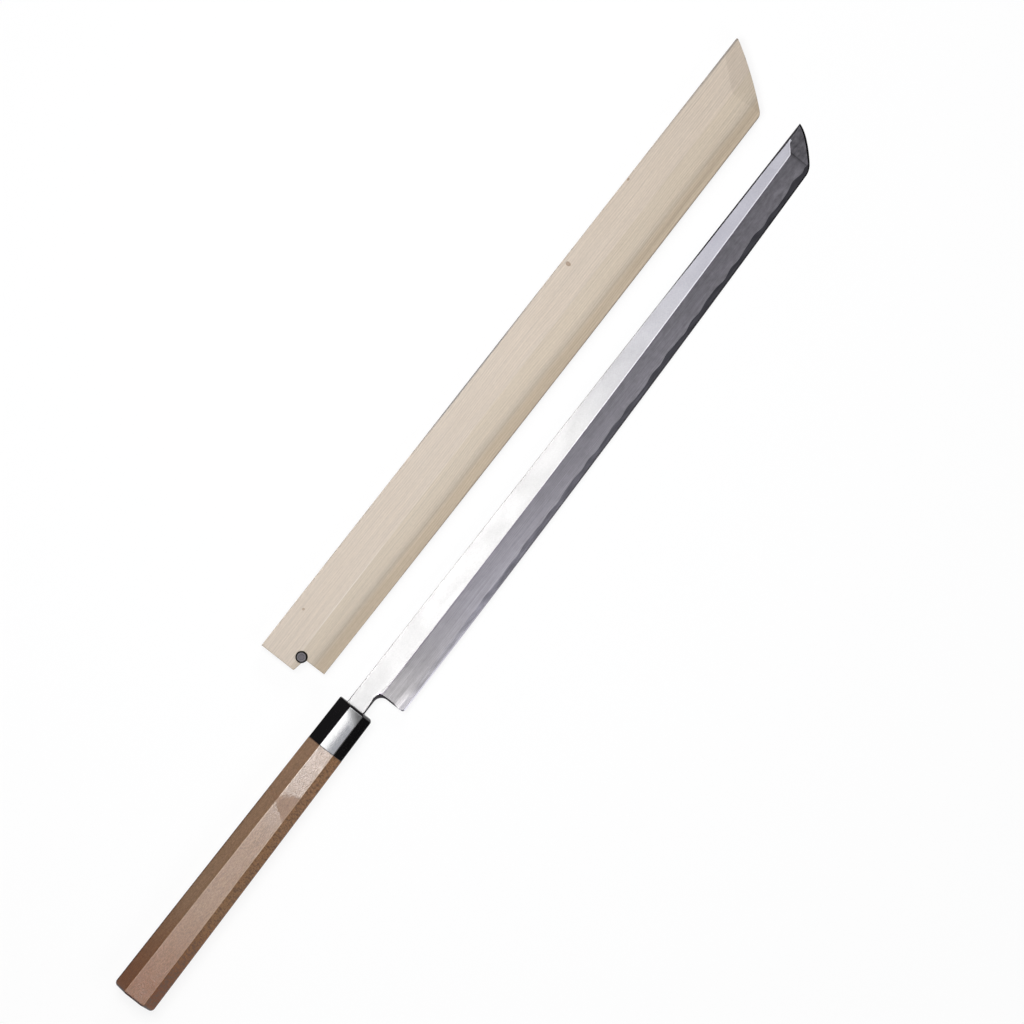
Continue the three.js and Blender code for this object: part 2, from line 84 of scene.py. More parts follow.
class KNIFE_PG_blade(bpy.types.PropertyGroup):
    """The blade, measured from the front of the ferrule and down from the spine"""

    neck_length: distance("Neck length", "From the ferrule to the heel", 19.2)
    neck_depth: distance("Neck depth", "Depth of the neck", 16)
    length: distance("Blade length", "From the heel to the tip", 540)
    heel_depth: distance("Heel depth", "Depth of the blade at the heel", 38.6)
    heel_fillet: distance("Heel fillet", "Radius of the hollow corner between neck and heel", 7)
    heel_corner: distance("Heel corner", "Rounding of the heel's own point", 2.5)
    shoulder_depth: distance("Shoulder depth", "Depth where the slanted tip starts", 28.2)
    shoulder_rounding: distance("Shoulder rounding", "Reach of the blend between edge and tip", 4)
    tip_length: distance("Tip length", "From the shoulder to the point", 23.5)
    ridge_heel: distance("Ridge depth at heel", "From the spine to the ridge", 17.4)
    ridge_shoulder: distance("Ridge depth at shoulder", "From the spine to the ridge", 9.2)
    ridge_runout: distance("Ridge run-out", "Length over which the ridge climbs to the spine", 10.5)
    ridge_rounding: distance("Ridge rounding", "Half the width of the eased ridge", 0.3)
    spine_thickness: distance("Spine thickness", "Thickness at the heel", 5)
    shoulder_thickness: distance("Shoulder thickness", "Thickness at the shoulder", 2.6)
    edge_thickness: distance("Edge thickness", "Thickness just above the cutting edge", 0.3)
    spine_chamfer: distance("Spine chamfer", "Width of the eased corner along the spine", 0.5)
    neck_chamfer: distance("Neck chamfer", "Widest part of the eased corner round the heel's hollow", 2.4)
    steel_shown: distance("Steel shown", "Width of the hard steel above the edge", 4.3)
    steel_at_tip: distance("Steel at tip", "Width of the hard steel along the slanted tip", 1.5)
    fine_bevel: distance("Fine bevel", "Width of the last bevel along the cutting edge", 1)
    weld_gap: distance("Weld line", "Width of the line between the two layers", 0.03)
    hollow_depth: distance("Hollow depth", "Depth of the hollow in the back", 0.35)
    hollow_rim: distance("Hollow rim", "Flat left round the hollow", 3)
    flat_colour: colour("Flat side", "Colour of the brushed flat side", 190, 189, 188)
    bevel_colour: colour("Bevel", "Colour of the ground bevel", 172, 169, 176)
    steel_colour: colour("Hard steel", "Colour of the polished edge steel", 132, 130, 138)
    # Painted shade: this dark colour stands for the shade on the eased corners round the neck and the heel
    corner_colour: colour("Eased corners", "Colour of the dull corners round the heel", 26, 20, 28)


class KNIFE_PG_grip(bpy.types.PropertyGroup):
    """The horn ferrule and the wooden handle, one tapering octagon"""

    ferrule_length: distance("Ferrule length", "Length of the horn", 38.7)
    handle_length: distance("Handle length", "Length of the wood", 239.4)
    front_rise: distance("Rise at front", "How far the grip stands above the blade's spine", 6.7)
    front_height: distance("Height at front", "Height of the octagon", 30.8)
    front_thickness: distance("Thickness at front", "Thickness of the octagon", 24)
    front_side: distance("Side flat at front", "Width of the narrow flats", 10)
    front_spine_chamfer: distance("Spine facet at front", "Height of the spine-side facets", 10.7)
    front_edge_chamfer: distance("Edge facet at front", "Height of the edge-side facets", 7.8)
    butt_rise: distance("Rise at butt", "How far the grip stands above the blade's spine", 7.7)
    butt_height: distance("Height at butt", "Height of the octagon", 36.3)
    butt_thickness: distance("Thickness at butt", "Thickness of the octagon", 33.2)
    butt_side: distance("Side flat at butt", "Width of the narrow flats", 13.8)
    butt_spine_chamfer: distance("Spine facet at butt", "Height of the spine-side facets", 9.9)
    butt_edge_chamfer: distance("Edge facet at butt", "Height of the edge-side facets", 8)
    corner_break: distance("Corner break", "Rounding of the long corners", 0.3)
    horn_crown: distance("Crown of the horn", "How far the middle of a flat of the ferrule stands out", 0.11)
    wood_crown: distance("Crown of the wood", "How far the middle of a flat of the handle stands out", 0.015)
    front_break: distance("Front break", "Rounding of the ferrule's front along its broad flats", 2.2)
    front_corner: distance("Front corner", "Rounding of the ferrule's front on the spine side", 1.2)
    front_toe: distance("Front toe", "Rounding of the ferrule's front on the edge side", 3)
    butt_break: distance("Butt break", "Rounding of the butt along its broad flats", 1.2)
    butt_rounding: distance("Butt rounding", "Rounding of the butt on the spine and edge sides", 3.8)
    butt_crown: distance("Butt crown", "How far the middle of the butt stands out", 0.7)
    joint_break: distance("Joint break", "Eased edge on both sides of the joint of horn and wood", 0.15)
    dowel_diameter: distance("Dowel diameter", "Dowel inside the grip", 17.5)
    front_wall: distance("Front wall", "Horn between the ferrule's front and the dowel", 10)
    filler_width: distance("Filler width", "Gap round the neck", 0.8)
    filler_depth: distance("Filler depth", "How deep the filler reaches", 4)
    glue_line: distance("Glue line", "Gap at the glued joints", 0.1)
    horn_colour: colour("Horn", "Colour of the polished horn", 9, 8, 9)
    wood_colour: colour("Handle wood", "Colour of the waxed wood", 136, 109, 84)
    filler_colour: colour("Filler", "Colour of the filler round the neck", 58, 47, 40)


class KNIFE_PG_sheath(bpy.types.PropertyGroup):
    """The sheath, measured from its mouth and down from its spine side"""

    length: distance("Sheath length", "From the mouth to the nose", 587)
    width: distance("Sheath width", "From the spine side to the edge side, at the mouth", 51)
    thickness: distance("Sheath thickness", "Both boards and the slot", 16)
    board_thickness: distance("Board thickness", "Thickness of each board", 4.75)
    taper: distance("Taper", "How much narrower the sheath is at the nose", 1)
    belly: distance("Belly", "How far the edge side bows out halfway", 1.3)
    ridge_mouth: distance("Ridge at mouth", "From the spine side to the board's ridge", 26.8)
    ridge_nose: distance("Ridge at nose", "From the spine side to the board's ridge", 23.3)
    facet_drop: distance("Facet drop", "From the ridge down to the bevelled edge", 1)
    edge_bevel: distance("Edge bevel", "Width of the bevelled edge", 9.5)
    edge_drop: distance("Edge drop", "From the flat down to the end of the bevelled edge", 3.6)
    edge_soft: distance("Edge softness", "How softly the facet turns into the bevelled edge", 0.6)
    corner_break: distance("Corner break", "Rounding of the board's sharp corners", 0.5)
    nose_slant: distance("Nose slant", "How far the nose leans back", 35.8)
    nose_bulge: distance("Nose bulge", "How far the nose bows out", 2)
    nose_facet: distance("Nose facet", "Length of the sloping facet at the nose, along the spine side", 16)
    nose_crease: distance("Nose crease", "How far the start of the sloping facet leans back", 44)
    nose_drop: distance("Nose drop", "Height that the nose facet falls", 0.95)
    mouth_step: distance("Mouth step", "How far the lower mouth stands back from the tongue", 11.7)
    mouth_fillet: distance("Mouth fillet", "Radius of the hollow corner beside the tongue", 3)
    tongue_depth: distance("Tongue depth", "Depth of the tongue where it meets the mouth", 32.3)
    tongue_slope: distance("Tongue slope", "How much shallower the tongue is at its end", 1.3)
    spine_wall: distance("Spine wall", "Width of the spacer along the spine", 5.7)
    slot_bottom: distance("Slot bottom", "From the spine side to the slot's far side", 45.8)
    slot_end_spine: distance("Slot end at spine", "Where the slot ends beside the spine", 565.325)
    slot_end_edge: distance("Slot end at edge", "Where the slot ends beside the edge", 531.9083)
    wood_colour: colour("Sheath wood", "Colour of the bare planed wood", 194, 180, 164)


class KNIFE_PG_pin(bpy.types.PropertyGroup):
    """The pin that keeps the sheath on the blade"""

    along: distance("Along the sheath", "From the mouth to the pin", 11.7)
    depth: distance("Depth", "From the spine side to the pin", 29.45)
    shank_diameter: distance("Shank diameter", "Under the head", 4)
    tip_diameter: distance("Tip diameter", "At the pin's lower end", 3.5)
    hole_diameter: distance("Hole diameter", "Hole through the boards", 4.3)
    head_diameter: distance("Head diameter", "Across the head", 9.4)
    head_height: distance("Head height", "Height of the head", 2.4)
    head_chamfer: distance("Head chamfer", "Width of the head's sloping rim", 1.1)
    head_rim: distance("Head rim", "Height of the head's upright side", 1)
    seat_gap: distance("Seat gap", "Gap under the head", 0.1)
    end_gap: distance("End gap", "How far the shank stops inside the lower board", 0.6)


class KNIFE_PG_stage(bpy.types.PropertyGroup):
    """The camera, the lamps and the floor"""

    view_turn: bpy.props.FloatProperty(
        name="View turn",
        description="How far the camera is turned about the vertical",
        default=math.radians(-51.95),
        subtype="ANGLE",
    )
    view_width: distance("View width", "Width of the picture at the height of the blade", 779.3)
    view_height: distance("View height", "Height of the camera above the floor", 4000)
    view_along: distance("View along", "Middle of the picture, along the knife", 39.3)
    view_across: distance("View across", "Middle of the picture, from the origin towards the edge", 29.3)
    floor_colour: colour("Floor", "Colour of the plain floor", 246, 246, 246)
    floor_white: share("Floor white", "How far the floor is lifted to white before the camera", 0.86)


# Shaping helpers. Shapes are drawn in metres in the knife's or the sheath's own frame, then placed.

def spread(start, end, steps):
    return [lerp(start, end, step / steps) for step in range(steps + 1)]


def quarter_round(radius, distance_in):
    """How far a rounded corner has drawn in, at a distance behind the face that it rounds"""
    left = max(radius - distance_in, 0)
    return radius - math.sqrt(max(radius * radius - left * left, 0))


def soft_min(first, second, reach):
    """The lower of two values, blended where they differ by less than a reach"""
    overlap = max(reach - abs(first - second), 0) / reach
    return min(first, second) - overlap * overlap * reach / 4


def skin(bm, sections, closed=True, finish=None):
    """Lay a grid of faces over sections, equally long lists of points that follow one another"""
    points = len(sections[0])
    columns = points if closed else points - 1
    rows = len(sections) - 1
    grid = bmesh.ops.create_grid(bm, x_segments=columns, y_segments=rows, size=0.5)
    faces = list({face for vert in grid["verts"] for face in vert.link_faces})
    if finish:
        for face in faces:
            middle = face.calc_center_median()
            row = math.floor((middle.y + 0.5) * rows)
            face.material_index = finish(row, math.floor((middle.x + 0.5) * columns))
    for vert in grid["verts"]:
        row = round((vert.co.y + 0.5) * rows)
        column = round((vert.co.x + 0.5) * columns) % points
        vert.co = sections[row][column]
    return faces


def close_ends(bm):
    bmesh.ops.remove_doubles(bm, verts=bm.verts, dist=MERGE_DISTANCE)
    bmesh.ops.holes_fill(bm, edges=[edge for edge in bm.edges if edge.is_boundary], sides=0)


def finish_piece(bm, name, place, materials, smooth_below=SHARP_ANGLE):
    """Turn a shape into an object with its place in its mesh"""
    bmesh.ops.remove_doubles(bm, verts=bm.verts, dist=MERGE_DISTANCE)
    bmesh.ops.dissolve_degenerate(bm, edges=bm.edges, dist=MERGE_DISTANCE)
    bmesh.ops.transform(bm, matrix=place, verts=bm.verts)
    bmesh.ops.recalc_face_normals(bm, faces=bm.faces)
    mesh = bpy.data.meshes.new(name)
    bm.to_mesh(mesh)
    bm.free()
    for material in materials:
        mesh.materials.append(material)
    mesh.shade_smooth()
    mesh.set_sharp_from_angle(angle=smooth_below)
    piece = bpy.data.objects.new(name, mesh)
    bpy.context.scene.collection.objects.link(piece)
    return piece


def join_frame(piece, body, slot, *nodes):
    """Let a piece move with a body and stand for CAD nodes"""
    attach(piece, body)
    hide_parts(*nodes)


def knife_place(scene):
    """From the knife's own frame, at the spine in the ferrule's front, to the table"""
    tip = scene.knife_blade.neck_length + scene.knife_blade.length
    drop = (scene.knife_grip.front_thickness - scene.knife_blade.spine_thickness) / 2
    lean = math.atan2(drop, tip)
    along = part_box("edge_steel")[1][0] - tip * math.cos(lean)
    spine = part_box("blade_iron")[1][1]
    return Matrix.Translation((along, spine, tip * math.sin(lean))) @ Matrix.Rotation(lean, 4, "Y")


def sheath_place():
    """From the sheath's own frame, at the spine side of the mouth, to the table"""
    low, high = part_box("sheath_spine_strip")
    return Matrix.Translation((low[0], high[1], (low[2] + high[2]) / 2))


# Blade

EDGE_CURVE_POWER = 1.6  # over 1, so the edge rises slowly at the heel
TIP_CURVE_POWER = 0.69  # under 1, so the slanted tip bows out
RIDGE_CURVE_POWER = 1.85
LEAST_BEVEL = 0.5 * MM  # least width of the bevel that its slope is taken from
WELD_WAVES = (  # height, length and phase of the forged line's waves, in millimetres and radians
    (0.4, 57, 0.4),
    (0.42, 26, 1.9),
    (0.26, 16.5, 4.1),
)
WELD_SWINGS = (0.45, 1.35)  # share of the waves' height at the heel and at the shoulder
WELD_END = (-2 * MM, 3 * MM)  # the waves end between these places, counted from the shoulder
SPINE_WIDENS = (380 * MM, 450 * MM)  # the spine's eased corner gets wider between these places
SPINE_GAIN = 1.2
TIP_WIDENS = (-20 * MM, 4 * MM)  # and wider again between these, counted from the shoulder
STEEL_START = 8 * MM  # the hard steel starts this far in front of the ferrule
EDGE_STEP = 2 * MM
HEEL_STEPS = (12, 14, 5)  # round the hollow corner, down the heel's back and round its point
SHOULDER_STEPS = 16
TIP_STEPS = 30
FAN_END = 40 * MM  # round the heel the lines across the blade fan out, as far as this along the spine
FAN_CATCH_UP = 75 * MM  # and past this they run square across
NECK_CHAMFER_REACH = 9 * MM
NECK_CHAMFER_LEAST = 0.45  # share of the chamfer that is left away from the heel's hollow
CHAMFER_LIMITS = (0.2, 0.3)  # the spine's eased corner takes at most these shares of width and height
EASE_LIMITS = (2, 0.6)  # the lower eased corner's width and drop are at most these times the height
EASE_POINT = 0.3  # share of the lower eased corner at which its bend lies
LEAST_FACING = 0.3  # limit on how much a slanting line across the blade widens that corner
RIDGE_LIMIT = 0.04  # the ridge's rounding takes at most this share of the width
RIDGE_POINTS = (-4, -1, 0, 1, 4)  # places across the ridge, in roundings
RIDGE_MIDDLE = 3  # number of the ridge's own point on the top
RIDGE_MARGIN = 5  # roundings between the ridge and the eased corners
TANG_LENGTH = 112 * MM
TANG_DEPTHS = (12 * MM, 7 * MM)  # in the ferrule and at its end
TANG_THICKNESS = 3 * MM
TANG_STEPS = 8
NECK_END = -8 * MM
NECK_PLACES = (NECK_END, 0, 4 * MM, STEEL_START, STEEL_START)
SLOPE_STEP = 0.2 * MM
STEEPEST_FALL = 3  # limit on the edge's slope, so that the steel at the very point stays narrow
SHARE_PASSES = 8  # passes in which a place on a slanting line is found
STEEL_LIMIT = 0.2  # the back's rim and the fine bevel take at most this share of the width
EDGE_SHARE = 0.4  # share of the edge's thickness that the fine bevel leaves
HOLLOW_STEPS = 10
HOLLOW_SIDE_SHARE = 0.3
HOLLOW_MARGIN = 12 * MM
HOLLOW_FADE = 18 * MM


class BladeForm:
    """Depths below the spine and heights above the back, at a distance from the ferrule"""

    def __init__(self, size):
        self.size = size
        self.heel = size.neck_length
        self.tip = size.neck_length + size.length
        self.shoulder = self.tip - size.tip_length
        self.ridge_end = self.shoulder + size.ridge_runout

    def along(self, x):
        return max((x - self.heel) / (self.shoulder - self.heel), 0)

    def edge_depth(self, x):
        size = self.size
        straight = lerp(size.heel_depth, size.shoulder_depth, self.along(x) ** EDGE_CURVE_POWER)
        left = max((self.tip - x) / size.tip_length, 0)
        slanted = size.shoulder_depth * left ** TIP_CURVE_POWER
        return max(soft_min(straight, slanted, size.shoulder_rounding), 0)

    def ridge_depth(self, x):
        size = self.size
        if x > self.shoulder:
            return size.ridge_shoulder * (1 - clamp((x - self.shoulder) / size.ridge_runout))
        return lerp(size.ridge_heel, size.ridge_shoulder, self.along(x) ** RIDGE_CURVE_POWER)

    def flat_height(self, x):
        size = self.size
        tapered = lerp(size.spine_thickness, size.shoulder_thickness, min(self.along(x), 1))
        past_ridge = clamp((x - self.ridge_end) / (self.tip - self.ridge_end))
        return lerp(tapered, size.edge_thickness, past_ridge)

    def bevel_slope(self, x):
        width = max(self.edge_depth(x) - self.ridge_depth(x), LEAST_BEVEL)
        return (self.flat_height(x) - self.size.edge_thickness) / width

    def face_height(self, point):
        x, depth = point
        below_ridge = depth - self.ridge_depth(x)
        if below_ridge <= 0:
            return self.flat_height(x)
        return max(self.flat_height(x) - self.bevel_slope(x) * below_ridge, self.size.edge_thickness)

    def round_shoulder(self, places, x):
        """0 before and 1 after two places that are counted from the shoulder"""
        return smoothstep(self.shoulder + places[0], self.shoulder + places[1], x)

    def steel_width(self, x):
        size = self.size
        past_shoulder = self.round_shoulder(WELD_END, x)
        wave = 0
        for height, length, phase in WELD_WAVES:
            wave += height * math.sin(2 * math.pi * x / (length * MM) + phase)
        swing = lerp(*WELD_SWINGS, min(self.along(x), 1)) * (1 - past_shoulder)
        fall = (self.edge_depth(x - SLOPE_STEP) - self.edge_depth(x + SLOPE_STEP)) / (2 * SLOPE_STEP)
        at_tip = size.steel_at_tip * math.hypot(1, min(fall, STEEPEST_FALL))
        return lerp(size.steel_shown, at_tip, past_shoulder) + swing * wave * MM

    def spine_widening(self, x):
        """How much wider the eased corner of the spine is than in the rear half"""
        return 1 + SPINE_GAIN * smoothstep(*SPINE_WIDENS, x) + self.round_shoulder(TIP_WIDENS, x)

    def weld_depth(self, x):
        return max(self.edge_depth(x) - self.steel_width(x), 0)

    def weld_height(self, x):
        return self.size.edge_thickness + self.bevel_slope(x) * self.steel_width(x)

    def heel_middle(self):
        """Centre of the hollow corner between neck and heel"""
        fillet = self.size.heel_fillet
        return Vector((self.heel - fillet, self.size.neck_depth + fillet))

    def heel_outline(self):
        """The hollow corner, the heel's back and its rounded point, as places along and down"""
        fillet, corner = self.size.heel_fillet, self.size.heel_corner
        middle = self.heel_middle()
        inner = Vector((self.heel + corner, self.edge_depth(self.heel + corner) - corner))
        hollow_steps, back_steps, point_steps = HEEL_STEPS
        hollow = []
        for turn in spread(0, QUARTER, hollow_steps):
            hollow.append(middle + fillet * Vector((math.sin(turn), -math.cos(turn))))
        back = [Vector((self.heel, depth)) for depth in spread(middle.y, inner.y, back_steps)]
        point = []
        for turn in spread(0, QUARTER, point_steps):
            point.append(inner + corner * Vector((-math.cos(turn), math.sin(turn))))
        return hollow + back[1:] + point[1:]

    def edge_places(self):
        """Places along the edge, closer round the shoulder and evenly spaced in depth along the tip"""
        start = self.heel + self.size.heel_corner
        near_shoulder = self.shoulder - 2 * self.size.shoulder_rounding
        long_run = spread(start, near_shoulder, round((near_shoulder - start) / EDGE_STEP))
        shoulder_run = spread(near_shoulder, self.shoulder, SHOULDER_STEPS)
        lefts = spread(1, 0, TIP_STEPS)
        tip_run = [self.tip - self.size.tip_length * left ** (1 / TIP_CURVE_POWER) for left in lefts]
        return long_run[1:] + shoulder_run[1:] + tip_run[1:]

    def lines_across(self):
        """Pairs of a place on the spine and a place on the outline, from the neck to the tip"""
        heel = self.heel_outline()
        neck = (*NECK_PLACES, heel[0].x - EDGE_STEP)
        pairs = [(Vector((x, 0)), Vector((x, self.size.neck_depth))) for x in neck]
        fan = spread(heel[0].x, FAN_END, len(heel) - 1)
        pairs += [(Vector((x, 0)), outline) for x, outline in zip(fan, heel)]
        for x in self.edge_places():
            caught_up = (x - heel[-1].x) / (FAN_CATCH_UP - heel[-1].x)
            spine_x = max(x, lerp(FAN_END, FAN_CATCH_UP, caught_up)) if caught_up < 1 else x
            pairs.append((Vector((spine_x, 0)), Vector((x, self.edge_depth(x)))))
        return pairs

    def outward(self, outline):
        """Direction out of the blade at a place on its outline"""
        middle = self.heel_middle()
        if not middle.x < outline.x <= self.heel + MERGE_DISTANCE:
            return Vector((0, 1))
        return Vector((-1, 0)) if outline.y > middle.y else (middle - outline).normalized()

    def share_at_depth(self, spine, outline, depth_at):
        """How far along a line across the blade a depth that varies along the blade is reached"""
        found = 1
        for _ in range(SHARE_PASSES):
            depth = depth_at(lerp(spine.x, outline.x, found))
            found = clamp(depth / max(outline.y, MERGE_DISTANCE))
        return found


def at_height(place, height):
    return Vector((place.x, -place.y, height))


def eased_corner(form, spine, end, outline, height):
    """Width and drop of the lower eased corner, widest in the heel's hollow"""
    path = (end.x + end.y - (form.heel + form.size.neck_depth)) / NECK_CHAMFER_REACH
    width = form.size.neck_chamfer * lerp(math.exp(-path * path), 1, NECK_CHAMFER_LEAST)
    width = min(width, EASE_LIMITS[0] * height)
    drop = min(width, EASE_LIMITS[1] * height)
    facing = (end - spine).normalized().dot(form.outward(outline))
    return width / max(facing, LEAST_FACING), drop


def iron_section(form, spine, outline, on_steel):
    """Ring round the soft iron on a line across the blade, from the spine's foot over the top"""
    size = form.size
    gap = size.weld_gap / 2
    weld_share = form.share_at_depth(spine, outline, form.weld_depth) if on_steel else 1
    end = spine.lerp(outline, weld_share)
    length = max((end - spine).length, MERGE_DISTANCE)

    def foot(place):
        if not on_steel:
            return 0
        return min(form.weld_height(place.x) + gap, form.face_height(place))

    def at(down):
        return spine.lerp(end, clamp(down / length))

    top = form.flat_height(spine.x)
    chamfer = min(size.spine_chamfer * form.spine_widening(spine.x), CHAMFER_LIMITS[0] * length)
    chamfer_drop = min(chamfer, CHAMFER_LIMITS[1] * (top - foot(spine)))
    end_height = form.face_height(end)
    ease, ease_drop = eased_corner(form, spine, end, outline, end_height - foot(end))
    rounding = min(size.ridge_rounding, RIDGE_LIMIT * length)
    margin = RIDGE_MARGIN * rounding
    ridge = length * form.share_at_depth(spine, end, form.ridge_depth)
    ridge = clamp(ridge, min(chamfer + margin, length / 2), max(length - ease - margin, length / 2))
    places = [at(chamfer), *(at(ridge + step * rounding) for step in RIDGE_POINTS), at(length - ease)]
    over_top = [at_height(place, form.face_height(place)) for place in places]
    over_top[RIDGE_MIDDLE].z -= form.bevel_slope(end.x) * rounding / 4
    return [
        at_height(spine, foot(spine)),
        at_height(spine, top - chamfer_drop),
        *over_top,
        at_height(at(length - EASE_POINT * ease), end_height - EASE_POINT * ease_drop),
        at_height(end, end_height - ease_drop),
        at_height(end, foot(end)),
    ]


def tang_section(form, x, depth):
    """Ring round the tang, with as many points as a ring round the iron"""
    thinning = (form.size.spine_thickness - TANG_THICKNESS) / 2
    thinning *= clamp((NECK_END - x) / (NECK_END + TANG_LENGTH))
    middle = form.size.neck_depth / 2
    top = form.size.spine_thickness - thinning
    upper, lower = Vector((x, middle - depth / 2)), Vector((x, middle + depth / 2))
    over_top = [at_height(upper.lerp(lower, gone), top) for gone in spread(0, 1, TANG_STEPS)]
    return [at_height(upper, thinning), *over_top, at_height(lower, top), at_height(lower, thinning)]


def steel_section(form, spine, outline):
    """Ring round the hard steel on a line across the blade, from the spine's foot over the weld"""
    size = form.size
    gap = size.weld_gap / 2
    length = max((outline - spine).length, MERGE_DISTANCE)
    weld = length * form.share_at_depth(spine, outline, form.weld_depth)
    rim = min(size.hollow_rim, STEEL_LIMIT * length)
    fine = length - min(size.fine_bevel, STEEL_LIMIT * length)

    def at(down, height=None):
        place = spine.lerp(outline, clamp(down / length))
        shown = min(form.weld_height(place.x) - gap, form.face_height(place))
        return at_height(place, shown if height is None else height)

    hollow_start, hollow_end = form.heel + HOLLOW_MARGIN, form.shoulder - HOLLOW_MARGIN
    hollow = size.hollow_depth * smoothstep(hollow_start, hollow_start + HOLLOW_FADE, outline.x)
    hollow *= 1 - smoothstep(hollow_end - HOLLOW_FADE, hollow_end, outline.x)
    back = [at(down, 0) for down in spread(length - rim, rim, HOLLOW_STEPS)]
    for step, point in enumerate(back):
        side = min(step, HOLLOW_STEPS - step) / HOLLOW_STEPS
        point.z = hollow * smoothstep(0, HOLLOW_SIDE_SHARE, side)
    edge_wall = outline.y < form.weld_depth(outline.x)
    edge_height = None if edge_wall else EDGE_SHARE * size.edge_thickness
    return [
        at(0, 0),
        at(0),
        at(weld),
        at((weld + fine) / 2),
        at(fine),
        at(length, edge_height),
        at(length, 0),
        *back,
    ]


# Faces of the iron; the eased corners get painted shade and a painted highlight
FLAT_SIDE, BEVEL_SIDE, PAINTED_LIGHT_CORNER = 0, 1, 2
CORNER_COLUMN, RIDGE_COLUMN, EASED_COLUMN = 2, 5, 8  # where the flat, the bevel and its eased corner start
PAINTED_LIGHT_COLUMNS = (1, 8, 9, 10)
STEEL_SIDE, SHARPENED = 0, 1
SHARPENED_COLUMNS = (4, 5)
STEEL_SHARP_ANGLE = math.radians(3)


def iron_blade(form, place, finishes):
    """The soft iron: neck, flat side, ground bevel and the tang inside the grip"""
    bm = bmesh.new()
    sections = [
        tang_section(form, -TANG_LENGTH, TANG_DEPTHS[1]),
        tang_section(form, NECK_END, TANG_DEPTHS[0]),
    ]
    bevel_starts = [EASED_COLUMN, EASED_COLUMN]
    margin = RIDGE_POINTS[-1] * form.size.ridge_rounding
    past_start = 0
    for spine, outline in form.lines_across():
        past_start += spine.x >= STEEL_START
        sections.append(iron_section(form, spine, outline, on_steel=past_start > 1))
        on_bevel = outline.y > form.ridge_depth(outline.x) + margin
        ran_out = form.ridge_depth(spine.x) < form.size.spine_chamfer * form.spine_widening(spine.x)
        bevel_starts.append(CORNER_COLUMN if ran_out else RIDGE_COLUMN if on_bevel else EASED_COLUMN)

    def side(row, column):
        if column in PAINTED_LIGHT_COLUMNS:
            return PAINTED_LIGHT_CORNER
        return BEVEL_SIDE if bevel_starts[row] <= column < EASED_COLUMN else FLAT_SIDE

    skin(bm, sections, finish=side)
    close_ends(bm)
    return finish_piece(bm, "iron_blade", place, finishes)


def steel_edge(form, place, finishes):
    """The hard steel layer under the iron, which comes out as the wavy band above the edge"""
    bm = bmesh.new()
    lines = [pair for pair in form.lines_across() if pair[0].x >= STEEL_START][1:]

    def side(row, column):
        return SHARPENED if column in SHARPENED_COLUMNS else STEEL_SIDE

    skin(bm, [steel_section(form, spine, outline) for spine, outline in lines], finish=side)
    close_ends(bm)
    return finish_piece(bm, "steel_edge", place, finishes, STEEL_SHARP_ANGLE)


# Grip

GRIP_SIZES = ("rise", "height", "thickness", "side", "spine_chamfer", "edge_chamfer")
FLAT_SHARES = (0.03, 0.25, 0.5, 0.75, 0.97)  # points across a flat, the outer ones close to its corners
FRONT_STEPS = (2.6, 2.2, 1.8, 1.2, 0.8, 0.45, 0.2, 0.05, 0)  # millimetres behind the ferrule's front
BUTT_STEPS = (3.8, 3, 2.2, 1.6, 1.2, 0.9, 0.6, 0.35, 0.15, 0.04, 0)  # and in front of the butt's rim
FERRULE_ROWS, HANDLE_ROWS, BUTT_ROWS = 8, 24, 6
BUTT_MARGIN = 1 * MM
DOWEL_END_WALL = 14 * MM
FILLER_SUNK = 3  # glue lines that the filler's middle lies behind its rim


def grip_middle(grip, blade, x):
    """Sizes of the octagon at x by name, and its middle"""
    back = -x / (grip.ferrule_length + grip.handle_length)
    size = {}
    for key in GRIP_SIZES:
        size[key] = lerp(getattr(grip, "front_" + key), getattr(grip, "butt_" + key), back)
    return size, Vector((size["rise"] - size["height"] / 2, blade.spine_thickness / 2))


def octagon(size):
    """Corners of the octagon, across and up from its middle"""
    half, flat, side = size["height"] / 2, size["thickness"] / 2, size["side"] / 2
    spine_flat, edge_flat = half - size["spine_chamfer"], size["edge_chamfer"] - half
    corners = (
        (half, -side), (half, side), (spine_flat, flat), (edge_flat, flat),
        (-half, side), (-half, -side), (edge_flat, -flat), (spine_flat, -flat),
    )
    return [Vector(corner) for corner in corners]


def eased_ring(corners, corner_break, crown):
    """Points round an octagon with eased corners and slightly crowned flats"""
    ring = []
    for number, corner in enumerate(corners):
        following, before = corners[(number + 1) % len(corners)], corners[number - 1]
        on_flat = number % 2 == 0
        onward, behind = (following - corner).normalized(), (before - corner).normalized()
        first, last = corner + corner_break * behind, corner + corner_break * onward
        ring += [first, (first + last + 2 * corner) / 4, last]
        next_first = following - corner_break * onward
        outward = Vector((-onward.y, onward.x))
        if outward.dot(corner) < 0:
            outward.negate()
        for along in FLAT_SHARES:
            stands_out = crown * 4 * along * (1 - along) if on_flat else 0
            ring.append(last.lerp(next_first, along) + stands_out * outward)
    return ring


def grip_section(grip, blade, x, crown=0, flat_inset=0, spine_inset=0, edge_inset=0):
    """Ring round the octagonal grip, drawn in by insets on its broad flats and on its two sides"""
    size, middle = grip_middle(grip, blade, x)
    half, flat = size["height"] / 2, size["thickness"] / 2
    whole = 1 - crown / min(half, flat)
    points = []
    for place in eased_ring(octagon(size), grip.corner_break, crown):
        across = (whole - (spine_inset if place.x > 0 else edge_inset) / half) * place.x
        up = (whole - flat_inset / flat) * place.y
        points.append(Vector((x, middle.x + across, middle.y + up)))
    return points


def neck_slot(blade, ring, x, grown):
    """The ring's points drawn in to a slot round the neck"""
    reach = Vector((blade.neck_depth / 2 + grown, blade.spine_thickness / 2 + grown))
    middle = Vector((-blade.neck_depth / 2, blade.spine_thickness / 2))
    slot = []
    for point in ring:
        across = clamp(point.y - middle.x, -reach.x, reach.x)
        up = clamp(point.z - middle.y, -reach.y, reach.y)
        slot.append(Vector((x, middle.x + across, middle.y + up)))
    return slot


